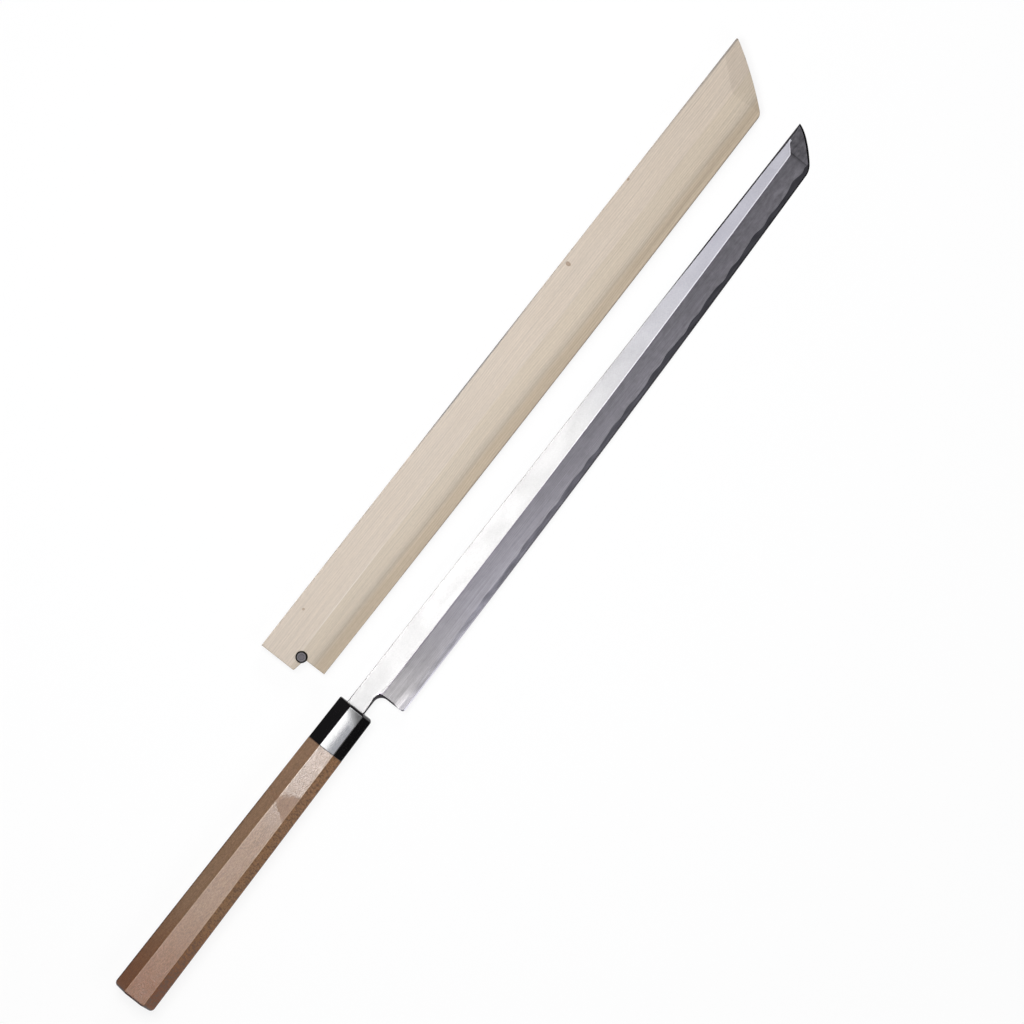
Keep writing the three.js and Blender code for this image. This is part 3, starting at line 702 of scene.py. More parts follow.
def round_bore(blade, ring, x, radius):
    """The ring's points drawn in to a circle round the neck's axis"""
    axis = Vector((x, -blade.neck_depth / 2, blade.spine_thickness / 2))
    bore = []
    for point in ring:
        outward = Vector((0, point.y - axis.y, point.z - axis.z)).normalized()
        bore.append(axis + radius * outward)
    return bore


def skinned_piece(name, sections, place, finish):
    """A piece that is one skin over rings, with one finish"""
    bm = bmesh.new()
    skin(bm, sections)
    return finish_piece(bm, name, place, [finish])


def horn_ferrule(grip, blade, place, finish):
    """The polished horn: rounded front, slot for the neck and bore for the dowel"""
    back = -grip.ferrule_length
    crown = grip.horn_crown
    sections = [grip_section(grip, blade, back, crown, *[grip.joint_break] * 3)]
    plain = spread(back + grip.joint_break, -grip.front_toe, FERRULE_ROWS)
    sections += [grip_section(grip, blade, x, crown) for x in plain]
    roundings = (grip.front_break, grip.front_corner, grip.front_toe)
    for behind in FRONT_STEPS:
        insets = [quarter_round(radius, behind * MM) for radius in roundings]
        sections.append(grip_section(grip, blade, -behind * MM, crown, *insets))
    front = sections[-1]
    width = grip.filler_width
    sections.append(neck_slot(blade, front, 0, width + grip.joint_break))
    sections.append(neck_slot(blade, front, -grip.joint_break, width))
    sections.append(neck_slot(blade, front, -grip.front_wall, width))
    bore = grip.dowel_diameter / 2 + grip.glue_line
    sections.append(round_bore(blade, front, -grip.front_wall, bore))
    sections.append(round_bore(blade, front, back, bore))
    sections.append(sections[0])
    return skinned_piece("horn_ferrule", sections, place, finish)


def neck_filler(grip, blade, place, finish):
    """The filler in the ferrule's slot, sunk a little between the horn and the neck"""
    ring = grip_section(grip, blade, 0)
    outer, inner = grip.filler_width - grip.glue_line, grip.glue_line
    front, back = -grip.glue_line, -grip.filler_depth
    sunk = front - FILLER_SUNK * grip.glue_line
    stops = ((back, outer), (front, outer), (sunk, (outer + inner) / 2), (front, inner), (back, inner))
    sections = [neck_slot(blade, ring, x, grown) for x, grown in stops + stops[:1]]
    return skinned_piece("neck_filler", sections, place, finish)


def wood_handle(grip, blade, place, finish):
    """The octagonal wood, with a rounded and crowned butt and a bore for the dowel"""
    front = -grip.ferrule_length - grip.glue_line
    butt = -grip.ferrule_length - grip.handle_length
    bore = grip.dowel_diameter / 2 + grip.glue_line
    bore_end = -TANG_LENGTH - DOWEL_END_WALL - grip.glue_line
    crown = grip.wood_crown
    joint = grip_section(grip, blade, front, crown, *[grip.joint_break] * 3)
    sections = [round_bore(blade, joint, bore_end, 0), round_bore(blade, joint, bore_end, bore)]
    sections += [round_bore(blade, joint, front, bore), joint]
    rim = butt + grip.butt_crown
    plain = spread(front - grip.joint_break, rim + grip.butt_rounding + BUTT_MARGIN, HANDLE_ROWS)
    sections += [grip_section(grip, blade, x, crown) for x in plain]
    for before in BUTT_STEPS:
        flat, side = (quarter_round(radius, before * MM) for radius in (grip.butt_break, grip.butt_rounding))
        sections.append(grip_section(grip, blade, rim + before * MM, crown, flat, side, side))
    thick, high = grip.butt_thickness / 2 - crown, grip.butt_height / 2 - crown
    for left in spread(1, 0, BUTT_ROWS)[1:]:
        flat, side = lerp(thick, grip.butt_break, left), lerp(high, grip.butt_rounding, left)
        x = butt + grip.butt_crown * left * left
        sections.append(grip_section(grip, blade, x, crown, flat, side, side))
    return skinned_piece("wood_handle", sections, place, finish)


# Sheath

MOUTH_INSETS = (0, 0.06 * MM, 0.2 * MM, 0.5 * MM, 0.9 * MM)
TONGUE_CORNER = 1 * MM
NOSE_CORNER = 2.3 * MM
NOSE_POINT = 1.8 * MM
SPINE_DEPTHS = (0, 0.06, 0.2, 0.5, 1.2, 4, 9, 14, 19)  # lines along a board, millimetres from its spine side
RIDGE_OFFSETS = (-2.5, -0.8, 0, 0.8, 2)  # lines along a board, millimetres from its ridge
FACET_DEPTHS = (36.2, 38, 39.6)  # lines between the mouth's hollow corner and the bevelled edge
TONGUE_CORNER_STEPS, TONGUE_STEPS, FILLET_STEPS, BEVEL_STEPS = 4, 6, 6, 14
BOARD_ROWS = 48
SETTLED = 0.1  # share of the board's length after which its lines have left the mouth's outline
NOSE_LINE = 0.9985  # share of the way to the sloping nose at which the last level row lies
NOSE_ROWS = 10
NOSE_PASSES = 5  # passes in which a place on the sloping nose is found
FAR_FROM_END = 1  # metres, so that no rounded end is near
HOLE_SIDES = 40
HOLE_CUTTER_LENGTH = 40 * MM
SPACER_BREAK = 0.15 * MM
SPACER_STEPS = 24
NOSE_STEPS, NOSE_POINT_STEPS = 20, 3


class SheathForm:
    """Outline and heights of the sheath's upper board, along from the mouth and down from the spine side"""

    def __init__(self, size):
        self.size = size
        self.top = size.thickness / 2
        self.inner = self.top - size.board_thickness
        self.nose_width = self.width(size.length - size.nose_slant)
        self.along_crease = Vector((size.nose_crease, self.nose_width)).normalized()

    def width(self, x):
        gone = x / self.size.length
        return self.size.width - self.size.taper * gone + 4 * self.size.belly * gone * (1 - gone)

    def ridge(self, x):
        return lerp(self.size.ridge_mouth, self.size.ridge_nose, x / self.size.length)

    def nose(self, depth):
        down = depth / self.nose_width
        bow = 4 * self.size.nose_bulge * down * (1 - down)
        return self.size.length - self.size.nose_slant * down + bow

    def nose_end(self, depth):
        """Where the nose ends once its point and its lower corner are rounded"""
        x = self.nose(depth)
        corner = max(depth - self.width(x) + NOSE_CORNER, 0)
        return x - quarter_round(NOSE_CORNER, NOSE_CORNER - corner) - quarter_round(NOSE_POINT, depth)

    def facet_start(self, depth):
        return self.size.length - self.size.nose_facet - self.size.nose_crease * depth / self.nose_width

    def height(self, x, depth):
        size = self.size
        ridge, from_edge = self.ridge(x), self.width(x) - depth
        facet_width = self.width(x) - size.edge_bevel - ridge
        facet = self.top - size.facet_drop * max(depth - ridge, 0) / facet_width
        bevel_fall = size.edge_drop - size.facet_drop
        bevel = self.top - size.edge_drop + bevel_fall * from_edge / size.edge_bevel
        height = soft_min(facet, bevel, size.edge_soft)
        past_facet = (x - self.facet_start(depth)) * self.along_crease.y
        fall = size.nose_drop / (size.nose_facet * self.along_crease.y)
        return min(height, self.top - fall * max(past_facet, 0))

    def columns(self):
        """Lines along the board as (place at the mouth, depth at a distance along)"""
        size = self.size
        tongue_end = size.tongue_depth - size.tongue_slope
        fillet, fillet_x = size.mouth_fillet, size.mouth_step - size.mouth_fillet
        columns = []

        def add_level(x, depth):
            columns.append((Vector((x, depth)), lambda along: depth))

        def add_beside(line, x, shift):
            columns.append((Vector((x, line(x) + shift)), lambda along: line(along) + shift))

        for depth in SPINE_DEPTHS:
            add_level(0, depth * MM)
        for offset in RIDGE_OFFSETS:
            add_beside(self.ridge, 0, offset * MM)
        for angle in spread(0, QUARTER, TONGUE_CORNER_STEPS):
            back = TONGUE_CORNER * (1 - math.cos(angle))
            add_level(back, tongue_end - TONGUE_CORNER * (1 - math.sin(angle)))
        for gone in spread(0, 1, TONGUE_STEPS)[1:]:
            add_level(lerp(TONGUE_CORNER, fillet_x, gone), lerp(tongue_end, size.tongue_depth, gone))
        for angle in spread(0, QUARTER, FILLET_STEPS)[1:]:
            down = fillet * (1 - math.cos(angle))
            add_level(fillet_x + fillet * math.sin(angle), size.tongue_depth + down)
        for depth in FACET_DEPTHS:
            add_level(size.mouth_step, depth * MM)
        for angle in spread(0, QUARTER, BEVEL_STEPS):
            add_beside(self.width, size.mouth_step, -size.edge_bevel * (1 - math.sin(angle)))
        return columns


def board_point(form, x, depth, from_end):
    """A point on a board's face, whose corners are rounded at both sides and at both ends"""
    reach = form.size.corner_break
    drop = quarter_round(reach, from_end) + quarter_round(reach, depth)
    drop += quarter_round(reach, max(form.width(x) - depth, 0))
    return Vector((x, -depth, form.height(x, depth) - min(drop, reach)))


def mouth_rows(form, mouth):
    """Rows of points that step in from the mouth's outline"""
    rows = [[] for _ in MOUTH_INSETS]
    for index, place in enumerate(mouth):
        tangent = mouth[min(index + 1, len(mouth) - 1)] - mouth[max(index - 1, 0)]
        inward = Vector((tangent.y, -tangent.x)).normalized()
        for row, inset in zip(rows, MOUTH_INSETS):
            moved = place + inset * inward
            row.append(board_point(form, moved.x, max(moved.y, 0), inset))
    return rows


def level_rows(form, columns, mouth_row):
    """Rows of points from the mouth to where the nose starts to slope"""
    rows = []
    for gone in spread(0, 1, BOARD_ROWS)[1:-1] + [NOSE_LINE, 1]:
        row = []
        for start, (_, depth_at) in zip(mouth_row, columns):
            x = lerp(start.x, form.facet_start(-start.y), gone)
            depth = lerp(-start.y, depth_at(x), smoothstep(0, SETTLED, gone))
            row.append(board_point(form, lerp(start.x, form.facet_start(depth), gone), depth, FAR_FROM_END))
        rows.append(row)
    return rows


def nose_rows(form, columns):
    """Rows of points over the sloping nose and its rounded end"""
    stops = [(gone, MOUTH_INSETS[-1]) for gone in spread(0, 1, NOSE_ROWS)[1:-1]]
    stops += [(1, inset) for inset in reversed(MOUTH_INSETS)]
    rows = []
    for gone, inset in stops:
        row = []
        for _, depth_at in columns:
            x = form.size.length - form.size.nose_slant / 2
            for _ in range(NOSE_PASSES):
                depth = depth_at(x)
                x = lerp(form.facet_start(depth), form.nose_end(depth) - inset, gone)
            row.append(board_point(form, x, depth, inset))
        rows.append(row)
    return rows


def board_rows(form):
    """Rows of points over the upper board's face, from the mouth to the nose"""
    columns = form.columns()
    at_mouth = mouth_rows(form, [place for place, _ in columns])
    return at_mouth + level_rows(form, columns, at_mouth[-1]) + nose_rows(form, columns)


def cut_hole(piece, pin, place):
    """Bore the pin's hole through a board"""
    bm = bmesh.new()
    radius = pin.hole_diameter / 2
    bmesh.ops.create_cone(
        bm, cap_ends=True, segments=HOLE_SIDES, radius1=radius, radius2=radius, depth=HOLE_CUTTER_LENGTH
    )
    bmesh.ops.translate(bm, verts=bm.verts, vec=place @ Vector((pin.along, -pin.depth, 0)))
    mesh = bpy.data.meshes.new("hole_cutter")
    bm.to_mesh(mesh)
    bm.free()
    cutter = bpy.data.objects.new("hole_cutter", mesh)
    bpy.context.scene.collection.objects.link(cutter)
    cut = piece.modifiers.new("Pin hole", "BOOLEAN")
    cut.object = cutter
    cut.operation = "DIFFERENCE"
    cut.solver = "EXACT"
    whole = piece.data
    shown = piece.evaluated_get(bpy.context.evaluated_depsgraph_get())
    piece.data = bpy.data.meshes.new_from_object(shown)
    piece.data.name = piece.name
    piece.modifiers.clear()
    bpy.data.objects.remove(cutter)
    bpy.data.meshes.remove(mesh)
    bpy.data.meshes.remove(whole)


def sheath_board(form, pin, name, place, flip, finish):
    """One side board: flat, ridge, facet, bevelled edge, sloping nose and stepped mouth"""
    bm = bmesh.new()
    face = skin(bm, board_rows(form), closed=False)
    pulled = bmesh.ops.extrude_face_region(bm, geom=face)["geom"]
    for vert in pulled:
        if isinstance(vert, bmesh.types.BMVert):
            vert.co.z = form.inner
    if flip:
        bmesh.ops.scale(bm, vec=(1, 1, -1), verts=bm.verts)
    board = finish_piece(bm, name, place, [finish])
    cut_hole(board, pin, place)
    return board


def spacer(form, name, outline, place, gap, finish):
    """A strip of wood between the boards, from its outline along and down"""
    bm = bmesh.new()
    half = form.inner - gap
    bm.faces.new([bm.verts.new((x, -depth, -half)) for x, depth in outline])
    pulled = bmesh.ops.extrude_face_region(bm, geom=bm.faces[:])["geom"]
    raised = [vert for vert in pulled if isinstance(vert, bmesh.types.BMVert)]
    bmesh.ops.translate(bm, verts=raised, vec=(0, 0, 2 * half))
    rims = [edge for edge in bm.edges if abs(edge.verts[0].co.z - edge.verts[1].co.z) < MERGE_DISTANCE]
    bmesh.ops.bevel(
        bm, geom=rims, offset=SPACER_BREAK, segments=2, profile=0.5, affect="EDGES", material=-1
    )
    return finish_piece(bm, name, place, [finish])


def spine_outline(form, gap):
    """Outline of the spacer along the spine"""
    end, wall = form.size.slot_end_spine - gap, form.size.spine_wall
    return [(0, 0), (0, wall), (end, wall), (end, 0)]


def edge_outline(form, gap):
    """Outline of the spacer along the edge"""
    start, end, bottom = form.size.mouth_step, form.size.slot_end_edge - gap, form.size.slot_bottom
    outer = [(x, form.width(x)) for x in spread(start, end, SPACER_STEPS)]
    return [(start, bottom), *outer, (end, bottom)]


def nose_outline(form):
    """Outline of the spacer at the nose"""
    spine_end, edge_end = form.size.slot_end_spine, form.size.slot_end_edge
    inner = [(spine_end, 0), (spine_end, form.size.spine_wall)]
    inner += [(edge_end, form.size.slot_bottom), (edge_end, form.width(edge_end))]
    depths = spread(form.nose_width, NOSE_POINT, NOSE_STEPS)
    depths += spread(NOSE_POINT, 0, NOSE_POINT_STEPS)[1:]
    return inner + [(form.nose_end(depth), depth) for depth in depths]


PIN_SOFT = 0.1 * MM  # small roundings of the pin's corners
PIN_EASE = 0.15 * MM
PIN_TOP_DROP = 0.12 * MM
PIN_TIP_ROUND = 0.4 * MM
PIN_DISH = (  # the dish in the head, as shares of its radius and millimetres below its top
    (0.62, 0.02),
    (0.56, 0.05),
    (0.3, 0.08),
    (0, 0.09),
)
PIN_STEPS = 56


def lock_pin(pin, form, place, finish):
    """The turned pin: a tapered shank and a chamfered head with a shallow dish"""
    under = form.top + pin.seat_gap
    top = under + pin.head_height
    head, shank, tip = pin.head_diameter / 2, pin.shank_diameter / 2, pin.tip_diameter / 2
    foot = pin.end_gap - form.top
    rim, flat = under + pin.head_rim, head - pin.head_chamfer
    profile = [
        (0, foot),
        (tip - PIN_TIP_ROUND, foot),
        (tip - PIN_SOFT, foot + PIN_SOFT),
        (tip, foot + PIN_TIP_ROUND),
        (shank, under),
        (head - PIN_EASE, under),
        (head, under + PIN_EASE),
        (head, rim - PIN_EASE),
        (head - PIN_SOFT, rim + PIN_SOFT),
        (flat + PIN_EASE, top - PIN_TOP_DROP),
        (flat - PIN_SOFT, top),
    ]
    profile += [(part * head, top - down * MM) for part, down in PIN_DISH]
    bm = bmesh.new()
    points = [bm.verts.new((radius, 0, height)) for radius, height in profile]
    line = [bm.edges.new(pair) for pair in zip(points, points[1:])]
    bmesh.ops.spin(
        bm,
        geom=points + line,
        cent=(0, 0, 0),
        axis=(0, 0, 1),
        angle=2 * math.pi,
        steps=PIN_STEPS,
        use_merge=True,
    )
    bmesh.ops.translate(bm, verts=bm.verts, vec=(pin.along, -pin.depth, 0))
    return finish_piece(bm, "lock_pin", place, [finish])


# Finishes. Places and sizes in their patterns are in millimetres, in the knife's or the sheath's own frame.

WHITE = (1, 1, 1)
NOISE_RANGE = (0.3, 0.7)  # most of a noise's values lie between these
SHADER_SOCKETS = {
    "colour": "Base Color",
    "metal": "Metallic",
    "roughness": "Roughness",
    "refraction": "IOR",
    "specular": "Specular IOR Level",
    "coat": "Coat Weight",
    "coat_roughness": "Coat Roughness",
}


class Finish:
    """A procedural material whose patterns are laid out in millimetres in a piece's own frame"""

    def __init__(self, name, place):
        self.material = bpy.data.materials.new(name)
        self.material.use_nodes = True
        self.tree = self.material.node_tree
        self.shader = self.tree.nodes["Principled BSDF"]
        coordinates = self.tree.nodes.new("ShaderNodeTexCoord")
        location, turn, _ = place.decompose()
        mapping = self.tree.nodes.new("ShaderNodeMapping")
        mapping.vector_type = "TEXTURE"
        mapping.inputs["Location"].default_value = location
        mapping.inputs["Rotation"].default_value = turn.to_euler()
        mapping.inputs["Scale"].default_value = (MM, MM, MM)
        self.tree.links.new(coordinates.outputs["Object"], mapping.inputs["Vector"])
        self.local = mapping.outputs["Vector"]
        axes = self.tree.nodes.new("ShaderNodeSeparateXYZ")
        self.tree.links.new(self.local, axes.inputs["Vector"])
        self.x, self.y, self.z = axes.outputs

    def give(self, socket, value):
        """Link a socket to another, or set it to a plain value"""
        if isinstance(value, bpy.types.NodeSocket):
            self.tree.links.new(value, socket)
        elif isinstance(value, (int, float)):
            socket.default_value = value
        else:
            socket.default_value = (*value, 1) if len(socket.default_value) == 4 else tuple(value)

    def set(self, **values):
        """Set the shader's own sockets, named in small letters"""
        for key, value in values.items():
            self.give(self.shader.inputs[SHADER_SOCKETS[key]], value)

    def math(self, operation, first, second=0):
        node = self.tree.nodes.new("ShaderNodeMath")
        node.operation = operation
        self.give(node.inputs[0], first)
        self.give(node.inputs[1], second)
        return node.outputs["Value"]

    def plus(self, first, second):
        return self.math("ADD", first, second)

    def minus(self, first, second):
        return self.math("SUBTRACT", first, second)

    def product(self, first, *others):
        for other in others:
            first = self.math("MULTIPLY", first, other)
        return first

    def away(self, value, middle):
        """How far a value is from a middle, to either side"""
        return self.math("ABSOLUTE", self.minus(value, middle))

    def noise(self, scale, detail=3, roughness=0.5, distortion=0, turn=0):
        """Noise with so many waves in a millimetre along each axis of the local frame, turned in plan"""
        vector = self.local
        for socket, value in (("Rotation", (0, 0, turn)), ("Scale", scale)):
            mapping = self.tree.nodes.new("ShaderNodeMapping")
            self.give(mapping.inputs["Vector"], vector)
            mapping.inputs[socket].default_value = value
            vector = mapping.outputs["Vector"]
        node = self.tree.nodes.new("ShaderNodeTexNoise")
        self.give(node.inputs["Vector"], vector)
        node.inputs["Scale"].default_value = 1
        node.inputs["Detail"].default_value = detail
        node.inputs["Roughness"].default_value = roughness
        node.inputs["Distortion"].default_value = distortion
        return node.outputs["Fac"]

    def fit(self, value, low, high, to_low=0, to_high=1, smooth=False):
        """A value's range fitted to another range, and held there"""
        node = self.tree.nodes.new("ShaderNodeMapRange")
        node.interpolation_type = "SMOOTHSTEP" if smooth else "LINEAR"
        self.give(node.inputs["Value"], value)
        node.inputs["From Min"].default_value = low
        node.inputs["From Max"].default_value = high
        self.give(node.inputs["To Min"], to_low)
        self.give(node.inputs["To Max"], to_high)
        return node.outputs["Result"]

    def vary(self, noise, to_low=0, to_high=1):
        """A noise fitted to a range"""
        return self.fit(noise, *NOISE_RANGE, to_low, to_high)

    def follow(self, value, stops):
        """A grey level that follows a value through stops, pairs of the value and the level there"""
        low, high = stops[0][0], stops[-1][0]
        node = self.tree.nodes.new("ShaderNodeValToRGB")
        self.give(node.inputs["Fac"], self.fit(value, low, high))
        elements = node.color_ramp.elements
        for place, level in stops[1:-1]:
            elements.new((place - low) / (high - low)).color = (level, level, level, 1)
        for element, (_, level) in ((elements[0], stops[0]), (elements[-1], stops[-1])):
            element.color = (level, level, level, 1)
        return node.outputs["Color"]

    def along(self, *stops):
        """A grey level that follows stops along the piece"""
        return self.follow(self.x, stops)

    def mix(self, amount, first, second, blend="MIX"):
        node = self.tree.nodes.new("ShaderNodeMix")
        node.data_type = "RGBA"
        node.blend_type = blend
        sockets = {socket.identifier: socket for socket in node.inputs}
        self.give(sockets["Factor_Float"], amount)
        self.give(sockets["A_Color"], first)
        self.give(sockets["B_Color"], second)
        return next(socket for socket in node.outputs if socket.identifier == "Result_Color")

    def times(self, tone, *factors):
        """A colour multiplied by other colours or levels"""
        for factor in factors:
            tone = self.mix(1, tone, factor, "MULTIPLY")
        return tone

    def tint(self, amount, tone):
        """White where an amount is 0, and a colour where it is 1"""
        return self.mix(amount, WHITE, tone)

    def tinted(self, tone, amount, factor):
        """A colour that is multiplied by another as far as an amount says"""
        return self.mix(amount, tone, self.times(tone, factor))

    def spot(self, centre, radii, softness=0.3, ragged=0):
        """1 inside an oval drawn in plan, 0 outside it, with a more or less ragged outline"""
        across = self.math("DIVIDE", self.minus(self.x, centre[0]), radii[0])
        up = self.math("DIVIDE", self.minus(self.y, centre[1]), radii[1])
        squared = self.plus(self.product(across, across), self.product(up, up))
        if ragged:
            swing = self.fit(self.noise((0.3, 0.3, 0.3)), 0.2, 0.8, -ragged, ragged)
            squared = self.plus(squared, swing)
        return self.fit(squared, (1 - softness) ** 2, (1 + softness) ** 2, 1, 0, smooth=True)

    def relief(self, height, depth):
        """Small bumps, whose full height is a depth in millimetres"""
        node = self.tree.nodes.new("ShaderNodeBump")
        node.inputs["Strength"].default_value = 1
        node.inputs["Distance"].default_value = depth * MM
        self.give(node.inputs["Height"], height)
        self.give(self.shader.inputs["Normal"], node.outputs["Normal"])


def shade(tone, *factors):
    """A colour made lighter or darker, by one factor or by one for each of red, green and blue"""
    if len(factors) == 1:
        factors = 3 * factors
    return [min(level * factor, 1) for level, factor in zip(tone, factors)]


def below_ridge(finish, settings):
    """How far below the blade's ridge a place is"""
    form = BladeForm(settings)
    shoulder = form.shoulder / MM
    gone = finish.math("POWER", finish.fit(finish.x, form.heel / MM, shoulder), RIDGE_CURVE_POWER)
    ridge = finish.fit(gone, 0, 1, settings.ridge_heel / MM, settings.ridge_shoulder / MM)
    climb = finish.fit(finish.x, shoulder, form.ridge_end / MM, 1, 0)
    return finish.minus(finish.product(finish.y, -1), finish.product(ridge, climb))


def brushed_flat_finish(settings, place):
    """Finely ground flat side: crossing scratches, painted shade that darkens and cools the tone towards the
    tip, and a painted highlight line by the ridge
    """
    finish = Finish("brushed_iron_flat", place)
    scratches = finish.noise((0.35, 4, 1), 4, 0.6, turn=math.radians(-38))
    crossing = finish.noise((0.5, 2.6, 1), 3, 0.6, turn=math.radians(35))
    clouds = finish.noise((0.04, 0.12, 0.1), 2)
    wear_and_highlight = finish.fit(finish.plus(scratches, crossing), 0.75, 1.25)
    tone = finish.mix(wear_and_highlight, shade(settings.flat_colour, 0.86), settings.flat_colour)
    # Painted shade: the tone darkens along the blade towards the tip and turns cooler there
    tone = finish.times(
        tone,
        finish.along((0, 0.9), (40, 1), (150, 0.97), (250, 0.98), (345, 0.79), (430, 0.77), (520, 0.81)),
        finish.tint(finish.fit(finish.x, 270, 450), (0.97, 0.97, 1.08)),
    )
    # Painted highlight: a light band along the flat side just above the ridge
    by_ridge = finish.fit(below_ridge(finish, settings), -1.1, -0.4)
    painted_ridge_highlight = finish.product(by_ridge, finish.fit(finish.x, 180, 300, 0, 0.35))
    tone = finish.mix(painted_ridge_highlight, tone, (0.95, 0.95, 0.97))
    finish.set(colour=tone, metal=1, roughness=finish.vary(clouds, 0.52, 0.57))
    finish.relief(scratches, 0.006)
    return finish.material


HEEL_HIGHLIGHT = ((21, -39), (12, 7), 0.8)  # centre, radii and softness of the painted highlight on the heel's corner
SHOULDER_LINE = 1.4  # a painted shade line crosses the bevel this far past the shoulder


def painted_heel_highlight(finish, brightest):
    """A level of 1 that rises at the heel's corner, for a painted highlight there"""
    return finish.fit(finish.spot(*HEEL_HIGHLIGHT), 0, 1, 1, brightest)


def ground_bevel_finish(settings, place):
    """Ground bevel: streaks along the blade, cloudy patches, painted shade that deepens towards the tip, near
    the ridge and along the shoulder's crease, and a painted highlight at the heel's corner
    """
    finish = Finish("ground_iron_bevel", place)
    streaks = finish.noise((0.018, 3, 1), 4, 0.6)
    clouds = finish.noise((0.2, 0.4, 0.4), 4, 0.6)
    dark_streak = finish.along((25, 0.7), (110, 0.78), (480, 0.85), (536, 0.95), (560, 0.95))
    light_streak = finish.along((25, 1.3), (110, 1.22), (480, 1.15), (536, 1.05), (560, 1.05))
    dark_cloud = finish.along((200, 0.95), (500, 0.84), (536, 0.84), (538, 0.65))
    light_cloud = finish.along((200, 1.05), (500, 1.16), (536, 1.16), (538, 1.35))
    # Painted shade: the bevel darkens along the blade towards the tip
    towards_tip = finish.along(
        (20, 1.3), (60, 0.95), (150, 0.88), (250, 0.63), (350, 0.55), (430, 0.5), (536, 0.54), (538, 0.7)
    )
    down = below_ridge(finish, settings)
    from_line = finish.away(finish.x, BladeForm(settings).shoulder / MM + SHOULDER_LINE)
    tone = finish.times(
        settings.bevel_colour,
        towards_tip,
        finish.vary(streaks, dark_streak, light_streak),
        finish.vary(clouds, dark_cloud, light_cloud),
        # Painted shade darker and purplish just below the ridge, a painted highlight at the heel's corner and
        # a painted shade line past the shoulder
        finish.fit(down, 0.5, 15, 0.88, 1.1),
        finish.tint(finish.fit(down, 0.9, 0.3), (0.72, 0.66, 0.75)),
        finish.tint(finish.fit(finish.x, 120, 30), (1.03, 1.03, 0.95)),
        painted_heel_highlight(finish, 1.5),
        finish.fit(from_line, 0.2, 0.8, 0.66, 1),
    )
    finish.set(colour=tone, metal=1, roughness=finish.vary(clouds, 0.32, 0.38))
    finish.relief(streaks, 0.006)
    return finish.material


def polished_steel_finish(settings, place):
    """Polished edge steel with painted reflection: as light as the iron at the heel, much darker towards the
    tip, with a painted highlight at the heel's corner
    """
    finish = Finish("polished_edge_steel", place)
    clouds = finish.noise((0.08, 0.3, 0.3))
    streaks = finish.noise((0.015, 2.2, 1), 4, 0.6)
    # Painted reflection: the steel's tone falls from light at the heel to nearly black past the shoulder
    towards_tip = finish.along(
        (20, 2.1), (70, 1.9), (130, 1.14), (250, 0.6), (350, 0.33), (430, 0.31), (538, 0.34), (545, 0.05)
    )
    tone = finish.times(
        settings.steel_colour,
        towards_tip,
        finish.tint(finish.fit(finish.x, 120, 50), (1.03, 1.03, 0.94)),
        painted_heel_highlight(finish, 1.4),
        finish.vary(clouds, 0.85, 1.12),
        finish.vary(streaks, 0.86, 1.14),
    )
    finish.set(colour=tone, metal=1, roughness=finish.vary(clouds, 0.3, 0.36))
    return finish.material


def sharpened_edge_finish(settings, place):
    """The last fine bevel, with painted reflection: bright at the heel, black towards the tip"""
    finish = Finish("sharpened_edge_steel", place)
    streaks = finish.noise((0.03, 2, 2))
    # Painted reflection: the fine bevel's tone falls from bright at the heel to black towards the tip
    tone = finish.times(
        settings.steel_colour,
        finish.along((20, 2.4), (70, 1.6), (150, 0.5), (250, 0.22), (540, 0.1)),
        finish.vary(streaks, 0.85, 1.15),
    )
    finish.set(colour=tone, metal=1, roughness=finish.vary(streaks, 0.26, 0.32))
    return finish.material


def painted_light_corner_finish(settings, place):
    """Dull corners round the neck and the heel, dark with painted shade, with a painted highlight along the
    rear half of the spine
    """
    finish = Finish("dull_eased_corner", place)
    grains = finish.noise((0.4, 2, 2))
    # Painted shade: the corners are given a dark tone
    dark = finish.mix(grains, shade(settings.corner_colour, 0.7), shade(settings.corner_colour, 1.3))
    # Painted highlight: a light band along the rear half of the spine's eased corner
    wear_and_highlight = finish.along((0, 0.1), (25, 0.9), (250, 0.9), (350, 0.5), (430, 0))
    spine_highlight = finish.product(wear_and_highlight, finish.fit(finish.y, -3, -2))
    tone = finish.mix(spine_highlight, dark, shade(settings.flat_colour, 1.5))
    finish.set(colour=tone, roughness=finish.vary(grains, 0.4, 0.5))
    return finish.material


FACET_BLEND = (-0.2, 0.2)  # from flat to facet the finish changes between these, across a long corner


def grip_line(finish, settings, front, butt):
    """A straight line along the grip, from its place across at the front to its place at the butt"""
    length = (settings.ferrule_length + settings.handle_length) / MM
    return finish.fit(finish.x, 0, -length, front / MM, butt / MM)


def flat_corners(finish, settings):
    """The two long corners of the grip's broad flats, on the spine side and on the edge side"""
    spine_corner = grip_line(
        finish,
        settings,
        settings.front_rise - settings.front_spine_chamfer,
        settings.butt_rise - settings.butt_spine_chamfer,
    )
    edge_corner = grip_line(
        finish,
        settings,
        settings.front_rise - settings.front_height + settings.front_edge_chamfer,
        settings.butt_rise - settings.butt_height + settings.butt_edge_chamfer,
    )
    return spine_corner, edge_corner


def grip_sides(finish, settings):
    """1 on the spine-side facets and 1 on the edge-side facets"""
    spine_corner, edge_corner = flat_corners(finish, settings)
    spine_side = finish.fit(finish.minus(finish.y, spine_corner), *FACET_BLEND)
    edge_side = finish.fit(finish.minus(edge_corner, finish.y), *FACET_BLEND)
    return spine_side, edge_side


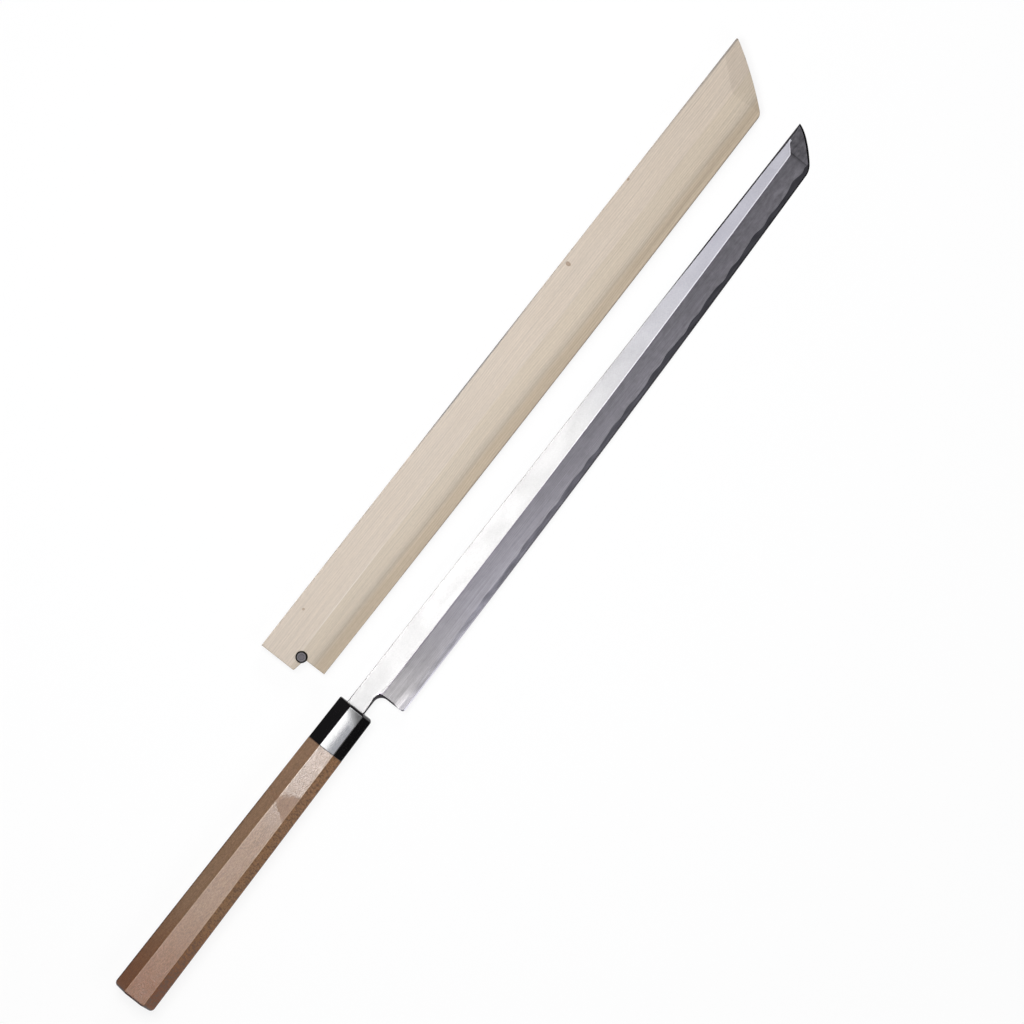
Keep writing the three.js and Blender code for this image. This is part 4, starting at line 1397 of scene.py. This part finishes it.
def horn_finish(settings, place):
    """Polished black horn, with faint lengthwise streaks and flats that are worn dull towards the front"""
    finish = Finish("polished_horn", place)
    streaks = finish.noise((0.05, 0.7, 0.7), 4, 0.6)
    patches = finish.noise((0.3, 0.6, 0.6), 5, 0.7)
    tone = finish.mix(finish.fit(streaks, 0.5, 0.8), settings.horn_colour, shade(settings.horn_colour, 1.6))
    on_facet = finish.plus(*grip_sides(finish, settings))
    towards_front = finish.plus(finish.x, finish.product(finish.y, -0.8))
    behind_front = finish.fit(finish.x, -1.8, -2.6)
    wear_and_highlight = finish.product(finish.fit(towards_front, -4.5, 7, 0, 0.42), behind_front)
    dull = finish.plus(finish.vary(patches, 0.09, 0.15), wear_and_highlight)
    finish.set(colour=tone, roughness=finish.fit(on_facet, 0, 1, dull, 0.09), refraction=1.74)
    finish.relief(finish.mix(on_facet, patches, (0.5, 0.5, 0.5)), 0.012)
    return finish.material


PIN_CIRCLES = (0.73, 0.49, 0.41)  # radii of the top with its painted reflection, the painted dark circle and its inside, as shares of the head's


def pin_finish(settings, pin, place):
    """Turned horn: a polished rim round a dull top whose grey is painted reflection, with fine turning marks
    and a painted dark circle
    """
    finish = Finish("turned_pin_horn", place)
    centre = (pin.along / MM, -pin.depth / MM)
    head = pin.head_diameter / MM / 2
    top, circle, inside = (finish.spot(centre, (part * head, part * head), 0.05) for part in PIN_CIRCLES)
    marks = finish.noise((1.2, 1.2, 1.2))
    horn = settings.horn_colour
    # Painted reflection: the top is made grey and lighter than the horn
    grey, light_grey = ([level + lift for level in horn] for lift in (0.125, 0.17))
    painted_reflection_tone = finish.times(finish.mix(finish.vary(marks), grey, light_grey), (1.02, 0.96, 1.03))
    tone = finish.mix(top, horn, painted_reflection_tone)
    # Painted shade: a dark circle on the top, and its inside a little darker
    tone = finish.tinted(tone, finish.minus(circle, inside), (0.5, 0.48, 0.5))
    tone = finish.tinted(tone, inside, (0.9, 0.88, 0.9))
    finish.set(colour=tone, roughness=finish.fit(top, 0, 1, 0.2, 0.6), specular=0.1)
    finish.relief(marks, 0.01)
    return finish.material


WOOD_REDDENS = (-190, -262)  # the handle gets redder and darker from one of these places to the other
WAX_SHINES = (-125, -64)  # and glossier from one of these to the other
PATCH_BUTT_LINE = (-14.5, 0, -101.5, -90.3)  # rear end of the dull patch: two places across, two along
PATCH_FRONT_LINE = (-20, 0, -77.2, -89.1)  # and its front end, in the same order


def handle_wood_tone(finish, settings, pores):
    """Grain and pores along the handle, redder and darker towards the butt"""
    wood = settings.wood_colour
    grain = finish.noise((0.012, 0.45, 0.45), 4, 0.6, 0.4)
    tone = finish.mix(finish.vary(grain), shade(wood, 0.9), shade(wood, 1.07))
    tone = finish.mix(finish.fit(finish.x, *WOOD_REDDENS, 0, 0.8), tone, shade(wood, 0.8, 0.5, 0.3))
    return finish.times(tone, finish.vary(pores, 1.35, 0.65))


def painted_light_handle_tint(finish, settings):
    """Tint of the handle's flats and facets, which change towards the butt: painted light makes the flats
    lighter and painted shade makes the facets darker
    """
    on_facet = finish.plus(*grip_sides(finish, settings))
    # Painted light on the broad flats and painted shade on the facets
    middle = finish.fit(finish.x, -70, -150)
    lit_flat_tint = finish.mix(middle, (1.1, 1.1, 1.13), (1.09, 1.01, 0.97))
    shaded_facet_tint = finish.mix(middle, (0.97, 0.93, 0.97), (0.89, 0.85, 0.86))
    shaded_facet_tint = finish.mix(finish.fit(finish.x, *WOOD_REDDENS), shaded_facet_tint, (0.68, 0.57, 0.5))
    return finish.mix(on_facet, lit_flat_tint, shaded_facet_tint)


def flecked_facets(finish, wood, edge_side, tone):
    """The tone made yellower, with dark flecks, on the edge-side facets"""
    edge_tint = finish.mix(finish.fit(finish.x, -170, -262), (0.93, 0.75, 0.49), (0.97, 0.71, 0.27))
    tone = finish.tinted(tone, edge_side, edge_tint)
    flecks = finish.noise((0.75, 0.3, 0.3), 3, 0.6, 0.6, math.radians(12))
    fleck = finish.product(finish.fit(flecks, 0.5, 0.58, 0, 0.75), edge_side)
    between = finish.times(tone, finish.fit(edge_side, 0, 1, 1, 1.15))
    return finish.mix(fleck, between, shade(wood, 0.4, 0.32, 0.25))


def painted_corner_highlights(finish, settings, tone):
    """The tone with a painted highlight line beside each long corner of the broad flats"""
    brightness = finish.fit(finish.x, -70, -200, 0.28, 0.1)
    for corner, inward in zip(flat_corners(finish, settings), (-0.4, 0.4)):
        from_line = finish.away(finish.y, finish.plus(corner, inward))
        highlight_line = finish.fit(from_line, 0.55, 0.2, 0, brightness)
        tone = finish.mix(highlight_line, tone, shade(settings.wood_colour, 2.6, 3, 3.4))
    return tone


def dull_patch(finish):
    """1 in a dull patch across the upper flat, between two slanting ragged lines"""
    swing = finish.vary(finish.noise((0.36, 0.36, 0.36), 2), -2, 2)
    place = finish.plus(finish.x, swing)
    from_butt_side = finish.minus(place, finish.fit(finish.y, *PATCH_BUTT_LINE))
    from_front_side = finish.minus(finish.fit(finish.y, *PATCH_FRONT_LINE), place)
    return finish.product(finish.fit(from_butt_side, -0.3, 0.3), finish.fit(from_front_side, -1.4, 1.4))


def dark_joint_and_shaded_rims(finish, settings, tone):
    """The tone made darker: painted shade along the spine side and round the butt's rounded rim, a dark
    joint, and darker end grain on the butt's end
    """
    joint = -settings.ferrule_length / MM
    butt = joint - settings.handle_length / MM
    spine_line = grip_line(finish, settings, settings.front_rise, settings.butt_rise)
    # Painted shade along the spine-side corner towards the butt
    rim = finish.product(
        finish.fit(finish.minus(finish.y, spine_line), -1.1, -0.5),
        finish.fit(finish.x, -60, -100, 0, 0.9),
        finish.fit(finish.z, 6.9, 7.9),
    )
    tone = finish.tinted(tone, rim, (0.4, 0.36, 0.34))
    at_joint = finish.fit(finish.x, joint - 1, joint - 0.3, 0, 0.7)
    # Painted shade round the butt's rounded rim, and a darker end face for its end grain
    butt_shade = finish.product(
        finish.fit(finish.x, butt + 2.5, butt + 1.8, 0, 0.9),
        finish.fit(finish.x, butt + 0.5, butt + 0.8, 0.5, 1),
    )
    dark = shade(settings.wood_colour, 0.1, 0.06, 0.1)
    return finish.mix(finish.math("MAXIMUM", at_joint, butt_shade), tone, dark)


def handle_finish(settings, place):
    """Waxed brown wood: fine pores, flecks on the edge-side facets, a dull patch, painted light and shade on
    flats, facets and corners, a dark joint and painted shade round the butt
    """
    finish = Finish("waxed_handle_wood", place)
    pores = finish.noise((0.5, 1.6, 1.6), 4, 0.65)
    _, edge_side = grip_sides(finish, settings)
    tone = finish.times(handle_wood_tone(finish, settings, pores), painted_light_handle_tint(finish, settings))
    tone = flecked_facets(finish, settings.wood_colour, edge_side, tone)
    tone = painted_corner_highlights(finish, settings, tone)
    patch = finish.product(dull_patch(finish), finish.minus(1, edge_side))
    tone = finish.tinted(tone, patch, (0.9, 0.82, 0.77))
    tone = dark_joint_and_shaded_rims(finish, settings, tone)
    roughness = finish.fit(patch, 0, 1, finish.vary(pores, 0.22, 0.28), 0.4)
    waxed = finish.fit(finish.x, *WAX_SHINES, 0, 0.58)
    speckled = finish.product(waxed, finish.fit(pores, 0.38, 0.62, 1.7, 0.3))
    wax = finish.fit(patch, 0, 1, speckled, 0)
    finish.set(colour=tone, roughness=roughness, coat=wax, coat_roughness=0.22)
    finish.relief(finish.fit(pores, 0.35, 0.7, 1, 0), 0.06)
    return finish.material


RING_SPACING = 1.7  # between the growth rings of the sheath's wood
KNOTS = (  # centres and radii of the upper board's knots
    ((371.9, -4.7), (1.4, 2.1)),
    ((450.7, -1.2), (1.2, 0.8)),
    ((41.1, -8.2), (1.1, 1.0)),
)


def ridge_highlight_and_facet_shade(finish, size, from_ridge, tone):
    """The tone made darker and warmer below a board's ridge as painted shade, with a painted highlight line
    along the ridge
    """
    # Painted shade: the facet below the ridge is darker than the flat, and the flat's tone varies along the
    # board
    past_ridge = finish.fit(from_ridge, -0.2, 0.4)
    on_flat = finish.along((0, 0.94), (60, 0.97), (130, 0.95), (230, 0.965), (300, 0.99))
    on_facet = finish.fit(finish.x, 60, 320, 0.915, 0.97)
    tone = finish.times(
        tone, finish.fit(past_ridge, 0, 1, on_flat, on_facet), finish.tint(past_ridge, (1, 1, 0.96))
    )
    # Painted highlight: a light line along the ridge, strongest near the mouth
    wear_and_highlight = finish.along((0, 0.08), (45, 0.45), (80, 0.5), (120, 0.2), (250, 0.1), (420, 0.03))
    ridge_highlight = finish.product(finish.fit(finish.math("ABSOLUTE", from_ridge), 0.6, 0.2), wear_and_highlight)
    return finish.mix(ridge_highlight, tone, shade(size.wood_colour, 1.3, 1.42, 1.6))


def soft_edge(finish, size, depth, tone):
    """The tone made warmer on a board's bevelled edge, with a painted soft shadow where it turns, a painted
    shade line along the bevel and a painted dark outline at the edge
    """
    length = size.length / MM
    bow = finish.product(finish.fit(finish.x, 0, length), finish.fit(finish.x, 0, length, 1, 0))
    straight = finish.fit(finish.x, 0, length, size.width / MM, (size.width - size.taper) / MM)
    width = finish.plus(straight, finish.product(bow, 4 * size.belly / MM))
    from_edge = finish.minus(width, depth)
    turn = finish.follow(
        from_edge,
        ((0, 0.98), (3, 0.95), (8.3, 0.94), (9, 0.88), (9.8, 0.8), (10.6, 0.85), (12.7, 0.91), (15.5, 1)),
    )
    warm = finish.tint(finish.fit(from_edge, 11, 7), (1, 0.965, 0.915))
    # Painted shade: a faint line along the bevel and a dark outline at the very edge
    line_tone = finish.fit(finish.x, 200, 430, 1, 0.87)
    line = finish.fit(finish.away(from_edge, 5.5), 0.5, 3.5, line_tone, 1)
    outline = finish.fit(from_edge, 0.3, 1.1, finish.along((60, 0.95), (130, 0.7), (260, 0.48)), 1)
    return finish.times(tone, turn, warm, line, outline)


def sloping_nose(finish, form, depth, from_ridge, tone):
    """The tone made darker on a board's sloping nose, as painted shade"""
    size = form.size
    start = (size.length - size.nose_facet) / MM
    crease = finish.fit(depth, 0, form.nose_width / MM, start, start - size.nose_crease / MM)
    facet_fall = size.facet_drop / (size.width - size.edge_bevel - size.ridge_nose)
    lag = facet_fall * size.nose_facet / size.nose_drop
    below = finish.math("MAXIMUM", from_ridge, 0)
    past_crease = finish.minus(finish.minus(finish.x, crease), finish.product(below, lag))
    return finish.times(tone, finish.fit(past_crease, -0.2, 0.4, 1, 0.935))


def painted_shadow_corner(finish, size, depth, tone):
    """Painted shadow: the tone made dark along parts of a board's outer corner on the spine side"""
    along_corner = finish.along(
        (180, 0), (225, 1), (290, 1), (350, 0.1), (450, 0.12), (500, 0.3), (550, 0.5), (562, 0.75), (587, 0.6)
    )
    from_corner = finish.minus(depth, finish.fit(finish.x, 310, 420, 0.15, 0.6))
    dark = finish.product(finish.fit(from_corner, 1.3, 0.3), finish.fit(finish.z, 5.9, 6.5), along_corner)
    return finish.mix(dark, tone, shade(size.wood_colour, 0.3, 0.33, 0.38))


def board_lines(finish, form, tone):
    """The tone with a board's painted ridge highlight and facet shade, the bevelled edge and sloping nose
    with painted shade, and a painted shadow along the spine-side corner
    """
    size = form.size
    depth = finish.product(finish.y, -1)
    ridge = finish.fit(finish.x, 0, size.length / MM, size.ridge_mouth / MM, size.ridge_nose / MM)
    from_ridge = finish.minus(depth, ridge)
    tone = ridge_highlight_and_facet_shade(finish, size, from_ridge, tone)
    tone = soft_edge(finish, size, depth, tone)
    tone = sloping_nose(finish, form, depth, from_ridge, tone)
    return painted_shadow_corner(finish, size, depth, tone)


def growth_rings(finish):
    """Waves from -1 to 1 across the wood, which wander along it and are weaker near the mouth"""
    wander = finish.vary(finish.noise((0.008, 0.015, 0.015), 1), -2.4, 2.4)
    ring_place = finish.math("DIVIDE", finish.plus(finish.y, wander), RING_SPACING)
    rings = finish.math("SINE", finish.product(ring_place, 2 * math.pi))
    return finish.product(rings, finish.fit(finish.x, 70, 150, 0.4, 1))


def knotted(finish, wood, centre, radii, tone):
    """The tone with a small dark knot and its lighter heart"""
    ring = finish.spot(centre, radii, 0.3, 0.5)
    tone = finish.mix(finish.product(ring, 0.8), tone, shade(wood, 0.42, 0.3, 0.2))
    heart = finish.spot(centre, [0.55 * radius for radius in radii])
    return finish.mix(finish.product(heart, 0.4), tone, shade(wood, 0.75, 0.68, 0.6))


def sheath_finish(settings, place, name, form=None, knots=()):
    """Bare planed wood: lengthwise grain and growth rings, and on a board its lines of painted light and
    shade and small knots
    """
    finish = Finish(name, place)
    wood = settings.wood_colour
    warp = finish.noise((0.02, 0.08, 0.08), 2)
    grain = finish.noise((0.012, 1.1, 1.1), 3, 0.6)
    fine = finish.noise((0.3, 1.3, 1.3), 4, 0.65)
    tone = finish.mix(finish.vary(grain), shade(wood, 0.88), shade(wood, 1.07))
    tone = finish.tinted(tone, finish.fit(warp, 0.35, 0.65, 0, 0.25), (0.97, 0.94, 0.9))
    rings = finish.fit(growth_rings(finish), -1, 1, 0.945, 1.055)
    tone = finish.times(tone, finish.vary(fine, 1.07, 0.93), rings)
    if form:
        tone = board_lines(finish, form, tone)
    for centre, radii in knots:
        tone = knotted(finish, wood, centre, radii, tone)
    finish.set(colour=tone, roughness=finish.vary(grain, 0.42, 0.5))
    finish.relief(grain, 0.02)
    return finish.material


def filler_finish(settings, place):
    """Dull dark filler"""
    finish = Finish("neck_filler", place)
    grains = finish.noise((2, 2, 2), 4)
    tone = finish.mix(grains, shade(settings.filler_colour, 0.7), settings.filler_colour)
    finish.set(colour=tone, roughness=finish.vary(grains, 0.5, 0.7))
    finish.relief(grains, 0.03)
    return finish.material


# Operators

class KNIFE_OT_blade(bpy.types.Operator):
    """Make the soft iron blade and its hard steel edge"""

    bl_idname = "knife.blade"
    bl_label = "Blade"

    def execute(self, context):
        settings = context.scene.knife_blade
        place = knife_place(context.scene)
        form = BladeForm(settings)
        iron_finishes = (brushed_flat_finish, ground_bevel_finish, painted_light_corner_finish)
        iron = iron_blade(form, place, [make(settings, place) for make in iron_finishes])
        join_frame(iron, "knife", "soft_iron", "blade_iron")
        steel_finishes = (polished_steel_finish, sharpened_edge_finish)
        steel = steel_edge(form, place, [make(settings, place) for make in steel_finishes])
        join_frame(steel, "knife", "hard_steel", "edge_steel")
        return {"FINISHED"}


class KNIFE_OT_ferrule(bpy.types.Operator):
    """Make the horn ferrule and the filler round the neck"""

    bl_idname = "knife.ferrule"
    bl_label = "Ferrule"

    def execute(self, context):
        grip, blade = context.scene.knife_grip, context.scene.knife_blade
        place = knife_place(context.scene)
        horn = horn_ferrule(grip, blade, place, horn_finish(grip, place))
        join_frame(horn, "knife", "horn", "ferrule")
        filler = neck_filler(grip, blade, place, filler_finish(grip, place))
        join_frame(filler, "knife", "resin", "tang_seal")
        return {"FINISHED"}


class KNIFE_OT_handle(bpy.types.Operator):
    """Make the wooden handle and finish the dowel inside it"""

    bl_idname = "knife.handle"
    bl_label = "Handle"

    def execute(self, context):
        grip, blade = context.scene.knife_grip, context.scene.knife_blade
        place = knife_place(context.scene)
        wood = wood_handle(grip, blade, place, handle_finish(grip, place))
        join_frame(wood, "knife", "walnut", "handle")
        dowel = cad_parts["handle_dowel"].data
        dowel.materials.clear()
        dowel.materials.append(sheath_finish(context.scene.knife_sheath, place, "dowel_wood"))
        return {"FINISHED"}


class KNIFE_OT_boards(bpy.types.Operator):
    """Make the two side boards of the sheath"""

    bl_idname = "knife.boards"
    bl_label = "Sheath boards"

    def execute(self, context):
        settings, pin = context.scene.knife_sheath, context.scene.knife_pin
        place = sheath_place()
        form = SheathForm(settings)
        upper_wood = sheath_finish(settings, place, "planed_upper_wood", form, KNOTS)
        upper = sheath_board(form, pin, "upper_board", place, False, upper_wood)
        join_frame(upper, "sheath", "magnolia", "sheath_front_board")
        lower_wood = sheath_finish(settings, place, "planed_lower_wood", form)
        lower = sheath_board(form, pin, "lower_board", place, True, lower_wood)
        join_frame(lower, "sheath", "magnolia", "sheath_back_board")
        return {"FINISHED"}


class KNIFE_OT_spacers(bpy.types.Operator):
    """Make the strips of wood between the boards"""

    bl_idname = "knife.spacers"
    bl_label = "Sheath spacers"

    def execute(self, context):
        settings = context.scene.knife_sheath
        gap = context.scene.knife_grip.glue_line
        place = sheath_place()
        form = SheathForm(settings)
        finish = sheath_finish(settings, place, "planed_spacer_wood")
        pieces = (
            ("spine_spacer", spine_outline(form, gap), "sheath_spine_strip"),
            ("edge_spacer", edge_outline(form, gap), "sheath_edge_strip"),
            ("nose_spacer", nose_outline(form), "sheath_nose_block"),
        )
        for name, outline, node in pieces:
            join_frame(spacer(form, name, outline, place, gap, finish), "sheath", "magnolia", node)
        return {"FINISHED"}


class KNIFE_OT_pin(bpy.types.Operator):
    """Make the pin that keeps the sheath on the blade"""

    bl_idname = "knife.pin"
    bl_label = "Pin"

    def execute(self, context):
        place = sheath_place()
        pin = context.scene.knife_pin
        form = SheathForm(context.scene.knife_sheath)
        horn = pin_finish(context.scene.knife_grip, pin, place)
        join_frame(lock_pin(pin, form, place, horn), "pin", "horn", "sheath_pin")
        return {"FINISHED"}


# Stage

FLOOR_SIZE = 40
SENSOR_WIDTH = 36
BLADE_LEVEL = 10 * MM  # height at which the picture has its set width
VIEW_END = 100
ROOM_TONES = (  # upward part of a direction, and the room's colour there
    (0.05, (0.03, 0.03, 0.032, 1)),
    (0.6, (0.11, 0.11, 0.115, 1)),
)
LAMPS = (  # name, centre, aim, width, length, watts and tint
    ("key_softbox", (-0.01, 0.28, 1.5), (-0.01, 0.28, 0), 0.52, 0.6, 15.25, WHITE),
    ("key_soft_edge", (-0.07, -0.15, 1.5), (-0.07, -0.15, 0), 0.64, 0.26, 2.5, (0.9, 0.92, 1)),
    ("key_soft_end", (-0.45, 0.05, 1.5), (-0.45, 0.05, 0), 0.36, 0.5, 2.1, WHITE),
    ("edge_side_fill", (0, -1.3, 1.3), (0, 0, 0), 0.9, 0.9, 5, WHITE),
    ("nose_fill", (1.2, 0.5, 0.9), (0.4, 0.05, 0), 0.6, 0.6, 5.5, WHITE),
)


def area_lamp(name, centre, aim, width, length, watts, tint):
    """A rectangular softbox that faces a point"""
    lamp = bpy.data.lights.new(name, "AREA")
    lamp.shape = "RECTANGLE"
    lamp.size = width
    lamp.size_y = length
    lamp.energy = watts
    lamp.color = tint
    holder = bpy.data.objects.new(name, lamp)
    holder.location = centre
    holder.rotation_euler = (Vector(aim) - Vector(centre)).to_track_quat("-Z", "Y").to_euler()
    bpy.context.scene.collection.objects.link(holder)


def floor_finish(settings):
    """Plain pale floor, which the camera and polished faces see lifted towards white"""
    finish = Finish("plain_floor", Matrix())
    finish.set(colour=settings.floor_colour, roughness=0.9, specular=0.1)
    nodes = finish.tree.nodes
    white = nodes.new("ShaderNodeEmission")
    white.inputs["Strength"].default_value = 1
    path = nodes.new("ShaderNodeLightPath")
    seen = path.outputs["Is Camera Ray"]
    for ray in ("Is Glossy Ray", "Is Transmission Ray"):
        seen = finish.math("MAXIMUM", seen, path.outputs[ray])
    mixed = nodes.new("ShaderNodeMixShader")
    finish.give(mixed.inputs["Fac"], finish.product(seen, settings.floor_white))
    finish.give(mixed.inputs[1], finish.shader.outputs["BSDF"])
    finish.give(mixed.inputs[2], white.outputs["Emission"])
    finish.give(nodes["Material Output"].inputs["Surface"], mixed.outputs["Shader"])
    return finish.material


def make_floor(settings):
    bm = bmesh.new()
    bmesh.ops.create_grid(bm, x_segments=4, y_segments=4, size=FLOOR_SIZE / 2)
    mesh = bpy.data.meshes.new("studio_floor")
    bm.to_mesh(mesh)
    bm.free()
    mesh.materials.append(floor_finish(settings))
    floor = bpy.data.objects.new("studio_floor", mesh)
    bpy.context.scene.collection.objects.link(floor)


def make_world():
    """A dim room, so that polished facets that face away from the lamps stay dark"""
    world = bpy.data.worlds.new("dim_room")
    world.use_nodes = True
    tree = world.node_tree
    direction = tree.nodes.new("ShaderNodeTexCoord")
    parts = tree.nodes.new("ShaderNodeSeparateXYZ")
    tree.links.new(direction.outputs["Generated"], parts.inputs["Vector"])
    ramp = tree.nodes.new("ShaderNodeValToRGB")
    tree.links.new(parts.outputs["Z"], ramp.inputs["Fac"])
    for element, (upward, tone) in zip(ramp.color_ramp.elements, ROOM_TONES):
        element.position = upward
        element.color = tone
    tree.links.new(ramp.outputs["Color"], tree.nodes["Background"].inputs["Color"])
    bpy.context.scene.world = world


def make_camera(settings):
    """A camera far overhead, turned so that the knife runs slantwise up the picture"""
    camera = bpy.data.cameras.new("overhead_camera")
    camera.sensor_width = SENSOR_WIDTH
    camera.lens = SENSOR_WIDTH * (settings.view_height - BLADE_LEVEL) / settings.view_width
    camera.clip_end = VIEW_END
    holder = bpy.data.objects.new("overhead_camera", camera)
    holder.location = (settings.view_along, -settings.view_across, settings.view_height)
    holder.rotation_euler = (0, 0, settings.view_turn)
    bpy.context.scene.collection.objects.link(holder)
    bpy.context.scene.camera = holder


class KNIFE_OT_stage(bpy.types.Operator):
    """Make the floor, the lamps, the room and the camera"""

    bl_idname = "knife.stage"
    bl_label = "Stage"

    def execute(self, context):
        settings = context.scene.knife_stage
        make_floor(settings)
        make_world()
        make_camera(settings)
        for lamp in LAMPS:
            area_lamp(*lamp)
        context.scene.view_settings.view_transform = "Standard"
        return {"FINISHED"}


class KNIFE_PT_panel(bpy.types.Panel):
    """Buttons for each piece and the settings that they use"""

    bl_label = "Tuna knife"
    bl_idname = "KNIFE_PT_panel"
    bl_space_type = "VIEW_3D"
    bl_region_type = "UI"
    bl_category = "Knife"

    def draw(self, context):
        for operator in OPERATORS:
            self.layout.operator(operator.bl_idname)
        for key, group in SETTINGS.items():
            box = self.layout.box()
            box.label(text=group.__doc__)
            for name in group.__annotations__:
                box.prop(getattr(context.scene, key), name)


SETTINGS = {
    "knife_blade": KNIFE_PG_blade,
    "knife_grip": KNIFE_PG_grip,
    "knife_sheath": KNIFE_PG_sheath,
    "knife_pin": KNIFE_PG_pin,
    "knife_stage": KNIFE_PG_stage,
}
OPERATORS = (
    KNIFE_OT_blade,
    KNIFE_OT_ferrule,
    KNIFE_OT_handle,
    KNIFE_OT_boards,
    KNIFE_OT_spacers,
    KNIFE_OT_pin,
    KNIFE_OT_stage,
)


def register():
    for cls in (*SETTINGS.values(), *OPERATORS, KNIFE_PT_panel):
        bpy.utils.register_class(cls)
    for key, group in SETTINGS.items():
        setattr(bpy.types.Scene, key, bpy.props.PointerProperty(type=group))


def unregister():
    for key in SETTINGS:
        delattr(bpy.types.Scene, key)
    for cls in reversed((*SETTINGS.values(), *OPERATORS, KNIFE_PT_panel)):
        bpy.utils.unregister_class(cls)


def main():
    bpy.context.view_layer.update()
    register()
    for operator in OPERATORS:
        group, name = operator.bl_idname.split(".")
        getattr(getattr(bpy.ops, group), name)()


if __name__ == "__main__":
    main()
